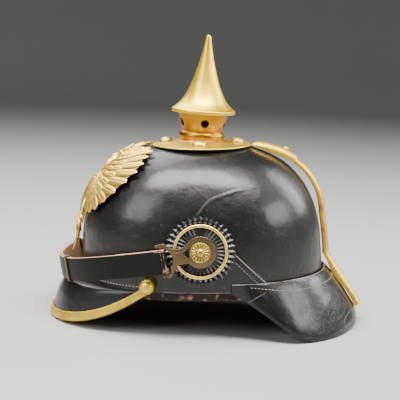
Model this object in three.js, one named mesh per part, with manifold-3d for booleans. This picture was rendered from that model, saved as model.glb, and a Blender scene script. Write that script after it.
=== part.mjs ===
// Spiked leather helmet with brass fittings, as an assembly of its separate pieces.
// Millimetres. +X is the wearer's left, -Y the front and +Z up. The helmet stands on z = 0.
// Everything is first built in the helmet's own frame, whose z = 0 is the skull's lower edge,
// and the whole group is then tipped and lifted to the way it rests on a table by itself.
import * as THREE from 'three';
import * as BufferGeometryUtils from 'three/addons/utils/BufferGeometryUtils.js';
import Module from 'manifold-3d';

const wasm = await Module();
wasm.setup();

// ---------------------------------------------------------------- driving dimensions

const GAP = 0.3;                  // clearance between pieces that touch
const SKULL_WALL = 2.5;
const VISOR_WALL = 2.2;
const SWEATBAND_WALL = 1.5;
const STRAP_WALL = 1.7;
const STRAP_WIDTH = 20;

const REST_TILT = 2.2;            // degrees, nose down, when the helmet stands by itself
const REST_HEIGHT = 40.05;        // from the table to the middle of the skull's lower edge
const REST_SHIFT = -6.0;          // brings the middle of the whole length to y = 0

const OVAL_POWER = 2.12;          // 2 is an ellipse; more is a squarer oval
const CROWN_HOLE = 9;             // radius of the vent hole under the spike

// Level outlines of the skull: its reach to the front, to the rear and to each side.
const SKULL_SECTIONS = [
  { z: 0, front: 104.0, rear: 108.4, side: 84.0 },
  { z: 10, front: 104.6, rear: 108.3, side: 85.3 },
  { z: 23, front: 104.8, rear: 107.6, side: 86.0 },
  { z: 45, front: 103.4, rear: 105.5, side: 84.6 },
  { z: 64, front: 98.4, rear: 100.6, side: 80.5 },
  { z: 82, front: 88.6, rear: 91.0, side: 72.5 },
  { z: 97, front: 73.8, rear: 77.0, side: 61.0 },
  { z: 106.5, front: 59.0, rear: 60.5, side: 49.5 },
  { z: 112.4, front: 42.5, rear: 42.5, side: 37.0 },
  { z: 115.2, front: 22.5, rear: 23.0, side: 21.0 },
  { z: 115.9, front: CROWN_HOLE, rear: CROWN_HOLE, side: CROWN_HOLE },
];

// Free edge of the front visor: angle from the front, reach from the middle, and height.
const FRONT_RIM = [
  { angle: 0, reach: 133.2, z: -33.6 },
  { angle: 10, reach: 131.6, z: -33.6 },
  { angle: 20, reach: 126.4, z: -32.2 },
  { angle: 30, reach: 117.0, z: -28.8 },
  { angle: 40, reach: 106.5, z: -22.2 },
  { angle: 50, reach: 97.4, z: -12.8 },
  { angle: 57, reach: 92.0, z: -5.0 },
  { angle: 61, reach: 89.2, z: -0.9 },
];
// How a visor leaves the skull: share of its overhang against share of its drop.
const FRONT_PROFILE = [
  { out: 0, down: 0 },
  { out: 0.32, down: 0.015 },
  { out: 0.57, down: 0.09 },
  { out: 0.75, down: 0.32 },
  { out: 0.88, down: 0.64 },
  { out: 1, down: 1 },
];
const FRONT_VISOR_END = 57;       // where its leather runs out under the trim's ball, degrees

// Free edge of the rear visor; its angle is counted from the rear.
const REAR_RIM = [
  { angle: 0, reach: 141.0, z: -37.5 },
  { angle: 9, reach: 139.2, z: -40.8 },
  { angle: 18, reach: 134.8, z: -43.6 },
  { angle: 31, reach: 128.5, z: -44.8 },
  { angle: 43.8, reach: 119.9, z: -39.6 },
  { angle: 50, reach: 112.9, z: -31.6 },
  { angle: 57.5, reach: 102.2, z: -18.6 },
  { angle: 66, reach: 92.2, z: -6.8 },
  { angle: 73, reach: 88.4, z: -0.4 },
];
const REAR_PROFILE = [
  { out: 0, down: 0 },
  { out: 0.11, down: 0.06 },
  { out: 0.28, down: 0.2 },
  { out: 0.6, down: 0.49 },
  { out: 0.82, down: 0.72 },
  { out: 0.95, down: 0.88 },
  { out: 1, down: 1 },
];
const REAR_VISOR_END = 73;        // degrees from the rear
const WELT_HEIGHT = 7.2;          // how far the rear visor laps up the skull

const SWEATBAND = { bottom: -7, top: 26 };

// Brass trim: a folded strip. Its section, across the visor's edge (beyond) and off its face (off).
const TRIM = { wall: 1.5, outerLeg: 6.6, innerLeg: 4.5, clearOfSkull: 3.2, end: 61 };
const TRIM_BALL = { radius: 6.6, angle: 62.2, z: 5.2, off: 4.6, clear: 2.3 };

// Spike: everything that turns round its axis, which leans a little to the rear.
const SPIKE_AXIS_Y = 1.3;
const SPIKE_LEAN = 4.1;           // degrees
const BASE_RADIUS = 43.3;
const BASE_RIM_Z = 113.3;         // underside of the disc at its rim
const BASE_RISE = 3.6;            // how much higher the middle of its underside is
const BASE_WALL = 1.5;
const BASE_STATIONS = { over: [38, 31, 25], under: [18, 28, 36] };  // radii that follow its dome
const BOSS = { radius: 18.8, top: 119.2 };
const STUD = { radius: 6.0, height: 4.5, at: 31.2, turn: -4 };
const VENT = { radius: 3.5, count: 5, z: 14.5, turn: 5.4 };
const NECK_WALL = 2.2;
const NECK_PLAIN = { below: 0, above: 7 };  // its bore passes straight through the moulding
// Outline of the neck above the boss: the ring moulding, the waist and the flare.
const NECK_OUTLINE = [
  { z: -2, radius: 18.0 },
  { z: -0.6, radius: 18.6 },
  { z: 0.6, radius: 19.4 },
  { z: 2.2, radius: 19.9 },
  { z: 3.8, radius: 19.9 },
  { z: 5.4, radius: 19.3 },
  { z: 6.6, radius: 18.3 },
  { z: 7.2, radius: 17.6 },
  { z: 7.8, radius: 17.7 },
  { z: 10, radius: 18.3 },
  { z: 15, radius: 20.0 },
  { z: 20, radius: 21.3 },
  { z: 22.7, radius: 21.9 },
];
// Outline of the spike above its rim.
const SPIKE_RIM_Z = 23.0;
const SPIKE_OUTLINE = [
  { z: 0, radius: 27.6 },
  { z: 2.6, radius: 27.9 },
  { z: 4.6, radius: 25.4 },
  { z: 9, radius: 20.9 },
  { z: 15, radius: 16.9 },
  { z: 24, radius: 12.9 },
  { z: 36, radius: 8.9 },
  { z: 48, radius: 5.7 },
  { z: 59, radius: 3.4 },
  { z: 65.2, radius: 2.3 },
  { z: 67.2, radius: 1.3 },
];
const SPIKE_TIP_Z = 67.7;
const SPIKE_WALL = 1.6;
const SPIKE_BORE = 17;            // opening in its underside, over the neck

// Rear spine: an arc over the back of the skull, then two straight legs down to the visor.
const SPINE_CENTRE = { y: 50, z: 51.8 };
const SPINE = { under: 56.4, height: 5, halfWidth: 6, top: 79, bottom: 2 };
const SPINE_LEGS = [
  { y: 108.6, z: 37.2 },
  { y: 110.2, z: 22 },
  { y: 111.2, z: 14.2 },
  { y: 121.4, z: -1.5 },
  { y: 140.9, z: -30.6 },
];
const SPINE_POSTS = [62, 34, 6];  // degrees on the arc
const POST_RADIUS = 2;
const POST_FOOT = 40;             // from the arc's middle, well inside the skull
const SPINE_VENT = { angle: 76.2, radius: 2.5 };
const SLIDER = { top: 80.6, bottom: 55, over: 64.4, overBottom: 63.2, halfWidth: 7.4 };
const SLIDER_CLEARANCE = 0.5;
const SLIDER_KNOB = { angle: 66, radius: 2.3, height: 2.2 };
const CAP_STATIONS = [
  { angle: 94.4, under: 60.9, over: 62.0, halfWidth: 2.6 },
  { angle: 93, under: 60.7, over: 63.5, halfWidth: 4.7 },
  { angle: 90, under: 60.1, over: 64.5, halfWidth: 6.2 },
  { angle: 86, under: 59.0, over: 64.8, halfWidth: 7.1 },
  { angle: 81, under: 57.4, over: 64.6, halfWidth: 7.4 },
];

// Eagle plate, from tail to wing tips: height on the skull, half width there and stand-off.
const PLATE = { wall: 1.8, edgeLift: 1.6, postFoot: -4 };
const PLATE_ROWS = [
  { z: 19, halfWidth: 9, stand: 6.2 },
  { z: 26, halfWidth: 13, stand: 4.4 },
  { z: 34, halfWidth: 12, stand: 3.2 },
  { z: 44, halfWidth: 13, stand: 2.6 },
  { z: 53, halfWidth: 16, stand: 2.4 },
  { z: 57, halfWidth: 30, stand: 2.4 },
  { z: 61, halfWidth: 43, stand: 2.4 },
  { z: 68, halfWidth: 49, stand: 2.4 },
  { z: 76, halfWidth: 52.5, stand: 2.4 },
  { z: 84, halfWidth: 52, stand: 2.6 },
  { z: 92, halfWidth: 50.5, stand: 3.0 },
  { z: 98, halfWidth: 46, stand: 3.2 },
  { z: 104, halfWidth: 40, stand: 3.0 },
  { z: 109.4, halfWidth: 29, stand: 2.2 },
];
const PLATE_POSTS = [42, 92];     // heights

// Cockades, on both sides, and what is stacked on them outwards.
const COCKADE = { y: 0.2, z: 35.6, lean: 4.6, off: 0.5 };
const PLEATS = { teeth: 36, radius: 29, notch: 26.2, wall: 2 };
const RING = { radius: 21.3, tube: 1.4, squash: 0.9 };
const EYE = { radius: 13.0, wall: 1.5 };
const ROSETTE = { radius: 8.4, height: 4.6, shank: 2.4 };
const EYE_BAR = { head: [32.4, 4.6], foot: [27.4, -18.8], radius: 0.7 };  // forwards, up

// Chin strap: an oval route in plan, the height of its middle along that route, and how far
// its upper edge leans outwards there.
const STRAP_OVAL = { side: 96.4, front: 123.8 };
const STRAP_COURSE = [
  { y: -124, z: 8.4, lean: 8.5 },
  { y: -108, z: 12.2, lean: 6 },
  { y: -83, z: 18.4, lean: 1 },
  { y: -60, z: 23.4, lean: -2 },
  { y: -40, z: 26.4, lean: -4 },
  { y: -20, z: 29.0, lean: -4.6 },
];
const STRAP_END = 74.5;           // degrees from the front, where it turns round the bar
const STRAP_RETURN = 20;          // degrees that its end runs forwards again, inside
const STRAP_GRIP = { up: -7.6, layerGap: 0.4 };  // its middle on the bar, and between layers
const STRAP_EASE = 24;            // degrees over which it turns into the bar's own directions
const STRAP_LAP = 27;             // degrees past the front to which each half runs
const SLIDE = { angle: 24, wall: 1.2, length: 3 };

// ---------------------------------------------------------------- materials

const blackLeather = new THREE.MeshStandardMaterial({ color: 0x141414, roughness: 0.35 });
const wornLeather = new THREE.MeshStandardMaterial({ color: 0x3a241b, roughness: 0.7 });
const pleatedBlack = new THREE.MeshStandardMaterial({ color: 0x1b1c20, roughness: 0.45 });
const brass = new THREE.MeshStandardMaterial({ color: 0xc9a75c, roughness: 0.35, metalness: 1 });
const darkBrass = new THREE.MeshStandardMaterial({ color: 0x8f7444, roughness: 0.45, metalness: 1 });
const giltBrass = new THREE.MeshStandardMaterial({ color: 0xcfa866, roughness: 0.55, metalness: 1 });

// ---------------------------------------------------------------- small tools

const radians = THREE.MathUtils.degToRad;
const steps = (count) => Array.from({ length: count + 1 }, (_, i) => i / count);

// A smooth (Catmull-Rom) run through one column of a table, at a place counted in rows.
function smoothColumn(rows, column, place) {
  const last = rows.length - 1;
  const i = Math.min(Math.max(Math.floor(place), 0), last - 1);
  const f = Math.min(Math.max(place - i, 0), 1);
  const b = rows[i][column];
  const c = rows[i + 1][column];
  const a = i > 0 ? rows[i - 1][column] : 2 * b - c;
  const d = i + 2 <= last ? rows[i + 2][column] : 2 * c - b;
  return 0.5 * (2 * b + (c - a) * f + (2 * a - 5 * b + 4 * c - d) * f ** 2
    + (3 * b - a - 3 * c + d) * f ** 3);
}

// The place in a table, counted in rows, where a rising or falling column has a value.
function placeOf(rows, column, value) {
  const rising = rows[rows.length - 1][column] > rows[0][column];
  let low = 0;
  let high = rows.length - 1;
  for (let i = 0; i < 40; i += 1) {
    const middle = (low + high) / 2;
    const above = smoothColumn(rows, column, middle) > value;
    if (above === rising) high = middle;
    else low = middle;
  }
  return (low + high) / 2;
}

function smoothRow(rows, key, value) {
  const place = placeOf(rows, key, value);
  const row = {};
  for (const column of Object.keys(rows[0])) row[column] = smoothColumn(rows, column, place);
  return row;
}

const signedPower = (value, power) => Math.sign(value) * Math.abs(value) ** power;

// A point of an oval outline; angle 0 is the front, 90 degrees the wearer's left.
function ovalPoint(section, angle, z) {
  const c = Math.cos(angle);
  const s = Math.sin(angle);
  const x = section.side * signedPower(s, 2 / OVAL_POWER);
  const y = -(c > 0 ? section.front : section.rear) * signedPower(c, 2 / OVAL_POWER);
  return new THREE.Vector3(x, y, z);
}

// Its reach in one true direction from the middle, again with 0 at the front.
function ovalReach(section, angle) {
  const along = Math.cos(angle) > 0 ? section.front : section.rear;
  const sum = Math.abs(Math.sin(angle) / section.side) ** OVAL_POWER
    + Math.abs(Math.cos(angle) / along) ** OVAL_POWER;
  return sum ** (-1 / OVAL_POWER);
}

const polar = (reach, angle, z) => new THREE.Vector3(
  reach * Math.sin(angle),
  -reach * Math.cos(angle),
  z,
);

// The same surface moved outwards by a distance along its normal.
function moveOut(surface, u, v, distance, outwards = 1) {
  const h = 1e-3;
  const du = surface(u + h, v).sub(surface(u - h, v));
  const dv = surface(u, v + h).sub(surface(u, v - h));
  const normal = du.cross(dv).normalize();
  return surface(u, v).addScaledVector(normal, distance * outwards);
}

function indexedGeometry(points, triangles) {
  const geometry = new THREE.BufferGeometry();
  const places = points.flatMap((p) => [p.x, p.y, p.z]);
  geometry.setAttribute('position', new THREE.Float32BufferAttribute(places, 3));
  geometry.setIndex(triangles.flat());
  geometry.computeVertexNormals();
  return geometry;
}

const quad = (a, b, c, d) => [[a, b, c], [a, c, d]];

// A wall between two grids of points, grid[row][column], seen from outside with columns running
// anticlockwise. A closed wall joins its last column to its first; an open one gets side edges.
function wallBetween(outer, inner, closed) {
  const rowCount = outer.length;
  const columnCount = outer[0].length;
  const points = [...outer.flat(), ...inner.flat()];
  const half = rowCount * columnCount;
  const at = (row, column) => row * columnCount + (column % columnCount);
  const triangles = [];
  const columns = closed ? columnCount : columnCount - 1;
  for (let r = 0; r < rowCount - 1; r += 1) {
    for (let c = 0; c < columns; c += 1) {
      const corner = [at(r, c), at(r, c + 1), at(r + 1, c + 1), at(r + 1, c)];
      triangles.push(...quad(...corner));
      triangles.push(...quad(...corner.reverse().map((i) => i + half)));
    }
  }
  for (let c = 0; c < columns; c += 1) {
    const top = rowCount - 1;
    triangles.push(...quad(at(0, c + 1), at(0, c), at(0, c) + half, at(0, c + 1) + half));
    triangles.push(...quad(at(top, c), at(top, c + 1), at(top, c + 1) + half, at(top, c) + half));
  }
  if (!closed) {
    const end = columnCount - 1;
    for (let r = 0; r < rowCount - 1; r += 1) {
      triangles.push(...quad(at(r, 0), at(r + 1, 0), at(r + 1, 0) + half, at(r, 0) + half));
      triangles.push(...quad(at(r + 1, end), at(r, end), at(r, end) + half, at(r + 1, end) + half));
    }
  }
  return indexedGeometry(points, triangles);
}

// A solid swept through equal closed outlines (rings of points), with flat ends.
function sweepOf(rings, ringOutline) {
  const count = rings[0].length;
  const triangles = [];
  for (let r = 0; r < rings.length - 1; r += 1) {
    for (let i = 0; i < count; i += 1) {
      const j = (i + 1) % count;
      triangles.push(...quad(r * count + i, r * count + j, (r + 1) * count + j, (r + 1) * count + i));
    }
  }
  const cap = THREE.ShapeUtils.triangulateShape(ringOutline, []);
  const last = (rings.length - 1) * count;
  for (const [a, b, c] of cap) {
    triangles.push([c, b, a], [a + last, b + last, c + last]);
  }
  return indexedGeometry(rings.flat(), triangles);
}

// Turns a geometry inside in if its faces point inwards.
function facingOut(geometry) {
  const position = geometry.getAttribute('position');
  const index = geometry.getIndex();
  const [a, b, c] = [new THREE.Vector3(), new THREE.Vector3(), new THREE.Vector3()];
  let volume = 0;
  for (let i = 0; i < index.count; i += 3) {
    a.fromBufferAttribute(position, index.getX(i));
    b.fromBufferAttribute(position, index.getX(i + 1));
    c.fromBufferAttribute(position, index.getX(i + 2));
    volume += a.dot(b.cross(c));
  }
  if (volume < 0) index.array.reverse();
  return geometry;
}

function merged(geometry) {
  const plain = geometry.clone();
  plain.deleteAttribute('normal');
  plain.deleteAttribute('uv');
  return BufferGeometryUtils.mergeVertices(plain, 1e-4);
}

function toSolid(geometry) {
  const plain = merged(geometry);
  return new wasm.Manifold(new wasm.Mesh({
    numProp: 3,
    vertProperties: new Float32Array(plain.getAttribute('position').array),
    triVerts: new Uint32Array(plain.getIndex().array),
  }));
}

function toGeometry(solid) {
  const mesh = solid.getMesh();
  const geometry = new THREE.BufferGeometry();
  geometry.setAttribute('position', new THREE.BufferAttribute(new Float32Array(mesh.vertProperties), 3));
  geometry.setIndex(new THREE.BufferAttribute(new Uint32Array(mesh.triVerts), 1));
  geometry.computeVertexNormals();
  return geometry;
}

function cut(geometry, ...cutters) {
  const less = (solid, cutter) => solid.subtract(toSolid(cutter));
  return toGeometry(cutters.reduce(less, toSolid(geometry)));
}

function join(geometry, ...others) {
  const more = (solid, other) => solid.add(toSolid(other));
  return toGeometry(others.reduce(more, toSolid(geometry)));
}

// A turned piece from an outline of { z, radius } rows, closed onto the axis or onto a bore.
function turned(outline, segments) {
  const profile = outline.map((row) => new THREE.Vector2(row.radius, row.z));
  return facingOut(merged(new THREE.LatheGeometry(profile, segments).rotateX(Math.PI / 2)));
}

// A round pin from one point to another.
function pin(from, to, radius) {
  const length = from.distanceTo(to);
  const geometry = new THREE.CylinderGeometry(radius, radius, length, 12);
  const turn = new THREE.Quaternion().setFromUnitVectors(
    new THREE.Vector3(0, 1, 0), to.clone().sub(from).normalize());
  const middle = from.clone().lerp(to, 0.5);
  return geometry.applyQuaternion(turn).translate(middle.x, middle.y, middle.z);
}

function piece(name, geometry, material) {
  const mesh = new THREE.Mesh(geometry, material);
  mesh.name = name;
  return mesh;
}

// What would lie below the table top, in the helmet's own frame.
function belowTable() {
  const block = new THREE.BoxGeometry(400, 400, 100).translate(0, 0, -50);
  return block.applyMatrix4(restMatrix().invert());
}

function restMatrix() {
  const turn = new THREE.Matrix4().makeRotationX(radians(REST_TILT));
  return turn.premultiply(new THREE.Matrix4().makeTranslation(0, REST_SHIFT, REST_HEIGHT));
}

// ---------------------------------------------------------------- skull and sweatband

const skullOutline = (place) => ({
  z: smoothColumn(SKULL_SECTIONS, 'z', place),
  front: smoothColumn(SKULL_SECTIONS, 'front', place),
  rear: smoothColumn(SKULL_SECTIONS, 'rear', place),
  side: smoothColumn(SKULL_SECTIONS, 'side', place),
});
const SKULL_TOP = SKULL_SECTIONS.length - 1;
const SKULL_GRID = { columns: 60, rows: 14 };

function skullSurface(angle, place) {
  const section = skullOutline(place);
  return ovalPoint(section, angle, section.z);
}

function skullPoint(angle, place, offset) {
  const inside = Math.min(Math.max(place, 0.002), SKULL_TOP - 0.002);
  const point = moveOut(skullSurface, angle + 1e-4, inside, offset);
  if (place <= 0) point.z = 0;
  return point;
}

function skullGrid(offset) {
  return steps(SKULL_GRID.rows).map((v) => steps(SKULL_GRID.columns).slice(0, -1)
    .map((u) => skullPoint(2 * Math.PI * u, SKULL_TOP * v, offset)));
}

function makeSkull() {
  return wallBetween(skullGrid(0), skullGrid(-SKULL_WALL), true);
}

// The whole solid inside the skull's outer face, grown by an offset, for cutting what sits on it.
function skullCore(offset) {
  const rings = skullGrid(offset);
  rings.unshift(rings[0].map((p) => new THREE.Vector3(p.x, p.y, -60)));
  return facingOut(sweepOf(rings, rings[0].map((p) => new THREE.Vector2(p.x, p.y))));
}

function sweatbandPoint(angle, z, offset) {
  const row = smoothRow(SKULL_SECTIONS, 'z', Math.max(z, 0));
  const inset = offset - SKULL_WALL - GAP;
  const section = { front: row.front + inset, rear: row.rear + inset, side: row.side + inset };
  return ovalPoint(section, angle, z);
}

function makeSweatband() {
  const levels = [SWEATBAND.bottom, 0, 13, SWEATBAND.top];
  const grid = (offset) => levels.map((z) => steps(60).slice(0, -1)
    .map((u) => sweatbandPoint(2 * Math.PI * u, z, offset)));
  return wallBetween(grid(-0.1), grid(-SWEATBAND_WALL), true);
}

// ---------------------------------------------------------------- visors

const SKULL_EDGE = SKULL_SECTIONS[0];

// Outer face of the front visor; angle in radians from the front, across from 0 to 1.
function frontVisorSurface(angle, across) {
  const rim = smoothRow(FRONT_RIM, 'angle', Math.abs(THREE.MathUtils.radToDeg(angle)));
  const place = across * (FRONT_PROFILE.length - 1);
  const seam = ovalReach(SKULL_EDGE, angle);
  const reach = seam + (rim.reach - seam) * smoothColumn(FRONT_PROFILE, 'out', place);
  const z = -GAP + (rim.z + GAP) * smoothColumn(FRONT_PROFILE, 'down', place);
  return polar(reach, angle, z);
}

function makeFrontVisor() {
  const across = [0.14, 0.26, 0.4, 0.55, 0.7, 0.85, 0.998];
  const angles = steps(28).map((u) => radians(FRONT_VISOR_END * (2 * u - 1)));
  const lip = (z) => angles.map((a) => polar(ovalReach(SKULL_EDGE, a) - SKULL_WALL, a, z));
  const grid = (offset) => across.map((v) => angles
    .map((a) => moveOut(frontVisorSurface, a, v, offset, -1)));
  const outer = [lip(-GAP), ...grid(0)];
  const inner = [lip(-GAP - VISOR_WALL), ...grid(-VISOR_WALL)];
  return facingOut(wallBetween(outer, inner, false));
}

// Outer face of the rear visor; angle in radians from the rear, across from its top edge to its rim.
function rearVisorSurface(angle, across) {
  const rim = smoothRow(REAR_RIM, 'angle', Math.abs(THREE.MathUtils.radToDeg(angle)));
  const place = across * (REAR_PROFILE.length - 1);
  const section = smoothRow(SKULL_SECTIONS, 'z', WELT_HEIGHT);
  const top = ovalReach(section, Math.PI - angle) + GAP + VISOR_WALL;
  const reach = top + (rim.reach - top) * smoothColumn(REAR_PROFILE, 'out', place);
  const z = WELT_HEIGHT + (rim.z - WELT_HEIGHT) * smoothColumn(REAR_PROFILE, 'down', place);
  return polar(reach, Math.PI - angle, z);
}

function makeRearVisor() {
  const across = [0.004, 0.12, 0.25, 0.4, 0.55, 0.7, 0.85, 0.998];
  const angles = steps(34).map((u) => radians(REAR_VISOR_END * (2 * u - 1)));
  const grid = (offset) => across.map((v) => angles
    .map((a) => moveOut(rearVisorSurface, a, v, offset)));
  const sheet = facingOut(wallBetween(grid(0), grid(-VISOR_WALL), false));
  return cut(sheet, skullCore(GAP), belowTable());
}

// The trim's section: distance beyond the leather's edge, and off the visor's outer face.
function trimSection(innerLeg) {
  const { wall, outerLeg } = TRIM;
  const slot = -VISOR_WALL - GAP;
  return [
    [-outerLeg, GAP], [GAP, GAP], [GAP, slot], [-innerLeg, slot], [-innerLeg, slot - wall],
    [0, slot - wall], [wall, slot - wall / 2], [GAP + wall, slot / 2], [wall, wall / 2],
    [0, GAP + wall], [-outerLeg + 1, GAP + wall], [-outerLeg, GAP + wall / 2],
  ];
}

function makeTrim() {
  const angles = steps(34).map((u) => radians(TRIM.end * (2 * u - 1)));
  const rings = angles.map((angle) => {
    const edge = frontVisorSurface(angle, 0.998);
    const beyond = edge.clone().sub(frontVisorSurface(angle, 0.9)).normalize();
    const off = moveOut(frontVisorSurface, angle, 0.998, 1, -1).sub(edge);
    const leg = THREE.MathUtils.clamp(-edge.z - TRIM.clearOfSkull, 0.5, TRIM.innerLeg);
    return trimSection(leg)
      .map(([b, o]) => edge.clone().addScaledVector(beyond, b).addScaledVector(off, o));
  });
  const outline = trimSection(TRIM.innerLeg).map(([b, o]) => new THREE.Vector2(b, o));
  const strip = facingOut(sweepOf(rings, outline));
  return cut(strip, skullCore(GAP), belowTable(), ballShape(1, GAP), ballShape(-1, GAP));
}

function ballShape(side, grow) {
  const section = smoothRow(SKULL_SECTIONS, 'z', TRIM_BALL.z);
  const angle = side * radians(TRIM_BALL.angle);
  const centre = polar(ovalReach(section, angle) + TRIM_BALL.off, angle, TRIM_BALL.z);
  return new THREE.SphereGeometry(TRIM_BALL.radius + grow, 16, 9).translate(...centre);
}

const makeTrimBall = (side) => cut(ballShape(side, 0), skullCore(TRIM_BALL.clear));

// ---------------------------------------------------------------- spike

const baseUnder = (r) => BASE_RIM_Z + BASE_RISE * (1 - (r / BASE_RADIUS) ** 2);

function makeSpikeBase() {
  const topRadii = [BASE_RADIUS, ...BASE_STATIONS.over, BOSS.radius + 0.8];
  const lowRadii = [CROWN_HOLE, ...BASE_STATIONS.under, BASE_RADIUS - 0.6];
  const over = topRadii.map((r) => ({ radius: r, z: baseUnder(r) + BASE_WALL }));
  const under = lowRadii.map((r) => ({ radius: r, z: baseUnder(r) }));
  const outline = [
    ...under,
    { radius: BASE_RADIUS, z: baseUnder(BASE_RADIUS) + 0.5 },
    ...over,
    { radius: BOSS.radius, z: BOSS.top - 0.5 },
    { radius: BOSS.radius - 0.5, z: BOSS.top },
    { radius: CROWN_HOLE, z: BOSS.top },
    { radius: CROWN_HOLE, z: baseUnder(CROWN_HOLE) },
  ];
  return turned(outline, 40);
}

// A dome on the disc, tipped with the slope that the disc has there.
function makeStud() {
  const slope = Math.atan(2 * BASE_RISE * STUD.at / BASE_RADIUS ** 2);
  const dome = [0, 22, 45, 66, 84].map((degrees) => ({
    radius: STUD.radius * Math.cos(radians(degrees)),
    z: STUD.height * Math.sin(radians(degrees)),
  }));
  const outline = [{ radius: 0, z: 0 }, ...dome, { radius: 0, z: STUD.height }];
  return turned(outline, 16).rotateY(slope)
    .translate(STUD.at, 0, baseUnder(STUD.at) + BASE_WALL + GAP);
}

// In the leaning frame of the spike, whose origin is on the boss.
function makeNeck() {
  const bore = NECK_OUTLINE.filter((row) => row.z < NECK_PLAIN.below || row.z > NECK_PLAIN.above)
    .map((row) => ({ z: row.z, radius: row.radius - NECK_WALL }));
  const tube = turned([...NECK_OUTLINE, ...bore.reverse(), NECK_OUTLINE[0]], 30);
  const vents = steps(VENT.count).slice(0, -1).map((u) => {
    const angle = Math.PI / 2 + radians(VENT.turn) + 2 * Math.PI * u;
    return pin(new THREE.Vector3(0, 0, VENT.z), polar(30, angle, VENT.z), VENT.radius);
  });
  const lean = new THREE.Matrix4().makeRotationX(radians(SPIKE_LEAN));
  const foot = new THREE.BoxGeometry(60, 60, 20).translate(0, 0, GAP - 10).applyMatrix4(lean);
  return cut(tube, foot, ...vents);
}

function makeSpike() {
  const inside = SPIKE_OUTLINE.filter((row) => row.z >= 4 && row.radius > 4 * SPIKE_WALL)
    .map((row) => ({ z: row.z - 0.75 * SPIKE_WALL, radius: row.radius - 1.375 * SPIKE_WALL }));
  const outline = [
    { z: inside[inside.length - 1].z + 4, radius: 0 },
    ...inside.reverse(),
    { z: 1.8, radius: SPIKE_BORE },
    { z: 0, radius: SPIKE_BORE },
    ...SPIKE_OUTLINE,
    { z: SPIKE_TIP_Z, radius: 0 },
  ];
  return turned(outline, 32).translate(0, 0, SPIKE_RIM_Z);
}

// ---------------------------------------------------------------- rear spine

const spinePoint = (radius, degrees, x = 0) => new THREE.Vector3(
  x,
  SPINE_CENTRE.y + radius * Math.cos(radians(degrees)),
  SPINE_CENTRE.z + radius * Math.sin(radians(degrees)),
);

// A flat-backed, rounded section: half width across, height off the back.
function archOutline(halfWidth, height, sides = 8) {
  const arch = steps(sides).map((u) => [
    halfWidth * signedPower(Math.cos(Math.PI * u), 0.8),
    height * (0.16 + 0.84 * Math.sin(Math.PI * u) ** 0.9),
  ]);
  return [[halfWidth, 0], ...arch, [-halfWidth, 0]];
}

function archRing(outline, foot, out) {
  return outline.map(([x, h]) => new THREE.Vector3(x, 0, 0).add(foot).addScaledVector(out, h));
}

function makeRearSpine() {
  const arc = steps(18).map((u) => spinePoint(SPINE.under, SPINE.top + (SPINE.bottom - SPINE.top) * u));
  const route = [...arc, ...SPINE_LEGS.map((row) => new THREE.Vector3(0, row.y, row.z))];
  const section = archOutline(SPINE.halfWidth, SPINE.height);
  const rings = route.map((foot, i) => {
    const before = route[Math.max(i - 1, 0)];
    const after = route[Math.min(i + 1, route.length - 1)];
    const along = after.clone().sub(before).normalize();
    const out = new THREE.Vector3(0, -along.z, along.y);
    return archRing(section, foot, out);
  });
  const strip = facingOut(sweepOf(rings, section.map(([x, h]) => new THREE.Vector2(x, h))));
  const posts = SPINE_POSTS.map((angle) => pin(
    spinePoint(SPINE.under + SPINE.height / 2, angle), spinePoint(POST_FOOT, angle), POST_RADIUS));
  const vent = pin(spinePoint(50, SPINE_VENT.angle), spinePoint(70, SPINE_VENT.angle), SPINE_VENT.radius);
  return cut(join(strip, ...posts), skullCore(GAP), vent);
}

// A length of arched brass on the spine's own arc.
function archOnArc(stations) {
  const outlines = stations.map((row) => archOutline(row.halfWidth, row.over - row.under));
  const rings = stations.map((row, i) => archRing(
    outlines[i],
    spinePoint(row.under, row.angle),
    new THREE.Vector3(0, Math.cos(radians(row.angle)), Math.sin(radians(row.angle))),
  ));
  return facingOut(sweepOf(rings, outlines[0].map(([x, h]) => new THREE.Vector2(x, h))));
}

function makeSpineCap() {
  return cut(archOnArc(CAP_STATIONS), skullCore(GAP));
}

function makeSlider() {
  const under = SPINE.under + 0.3;
  const station = (u, grow) => ({
    angle: SLIDER.top + (SLIDER.bottom - SLIDER.top) * u,
    under,
    over: SLIDER.over + (SLIDER.overBottom - SLIDER.over) * u + grow,
    halfWidth: SLIDER.halfWidth + grow,
  });
  const body = steps(8).map((u) => station(u, 0));
  body[0] = station(0, -0.5);
  body.splice(1, 0, station(0.04, 0));
  const room = steps(10).map((u) => ({
    angle: SLIDER.top + 1 - (SLIDER.top - SLIDER.bottom + 2) * u,
    under: SPINE.under - 1,
    over: SPINE.under + SPINE.height + SLIDER_CLEARANCE,
    halfWidth: SPINE.halfWidth + SLIDER_CLEARANCE,
  }));
  return cut(archOnArc(body), archOnArc(room));
}

function makeSliderKnob() {
  const { angle, radius, height } = SLIDER_KNOB;
  const share = (SLIDER.top - angle) / (SLIDER.top - SLIDER.bottom);
  const seat = SLIDER.over + (SLIDER.overBottom - SLIDER.over) * share + GAP;
  const dome = [
    { radius: 0, z: 0 }, { radius: radius * 0.8, z: 0 }, { radius, z: height * 0.4 },
    { radius: radius * 0.7, z: height * 0.85 }, { radius: 0, z: height },
  ];
  return turned(dome, 16).rotateX(radians(angle - 90)).translate(...spinePoint(seat, angle));
}

// ---------------------------------------------------------------- eagle plate

// A point over the front of the skull: sideways distance x, height z and stand-off.
function overFront(x, z, stand) {
  const place = placeOf(SKULL_SECTIONS, 'z', z);
  const section = skullOutline(place);
  const angle = Math.asin(signedPower(Math.min(Math.abs(x) / section.side, 1), OVAL_POWER / 2));
  return skullPoint(Math.sign(x) * angle, place, stand);
}

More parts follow.
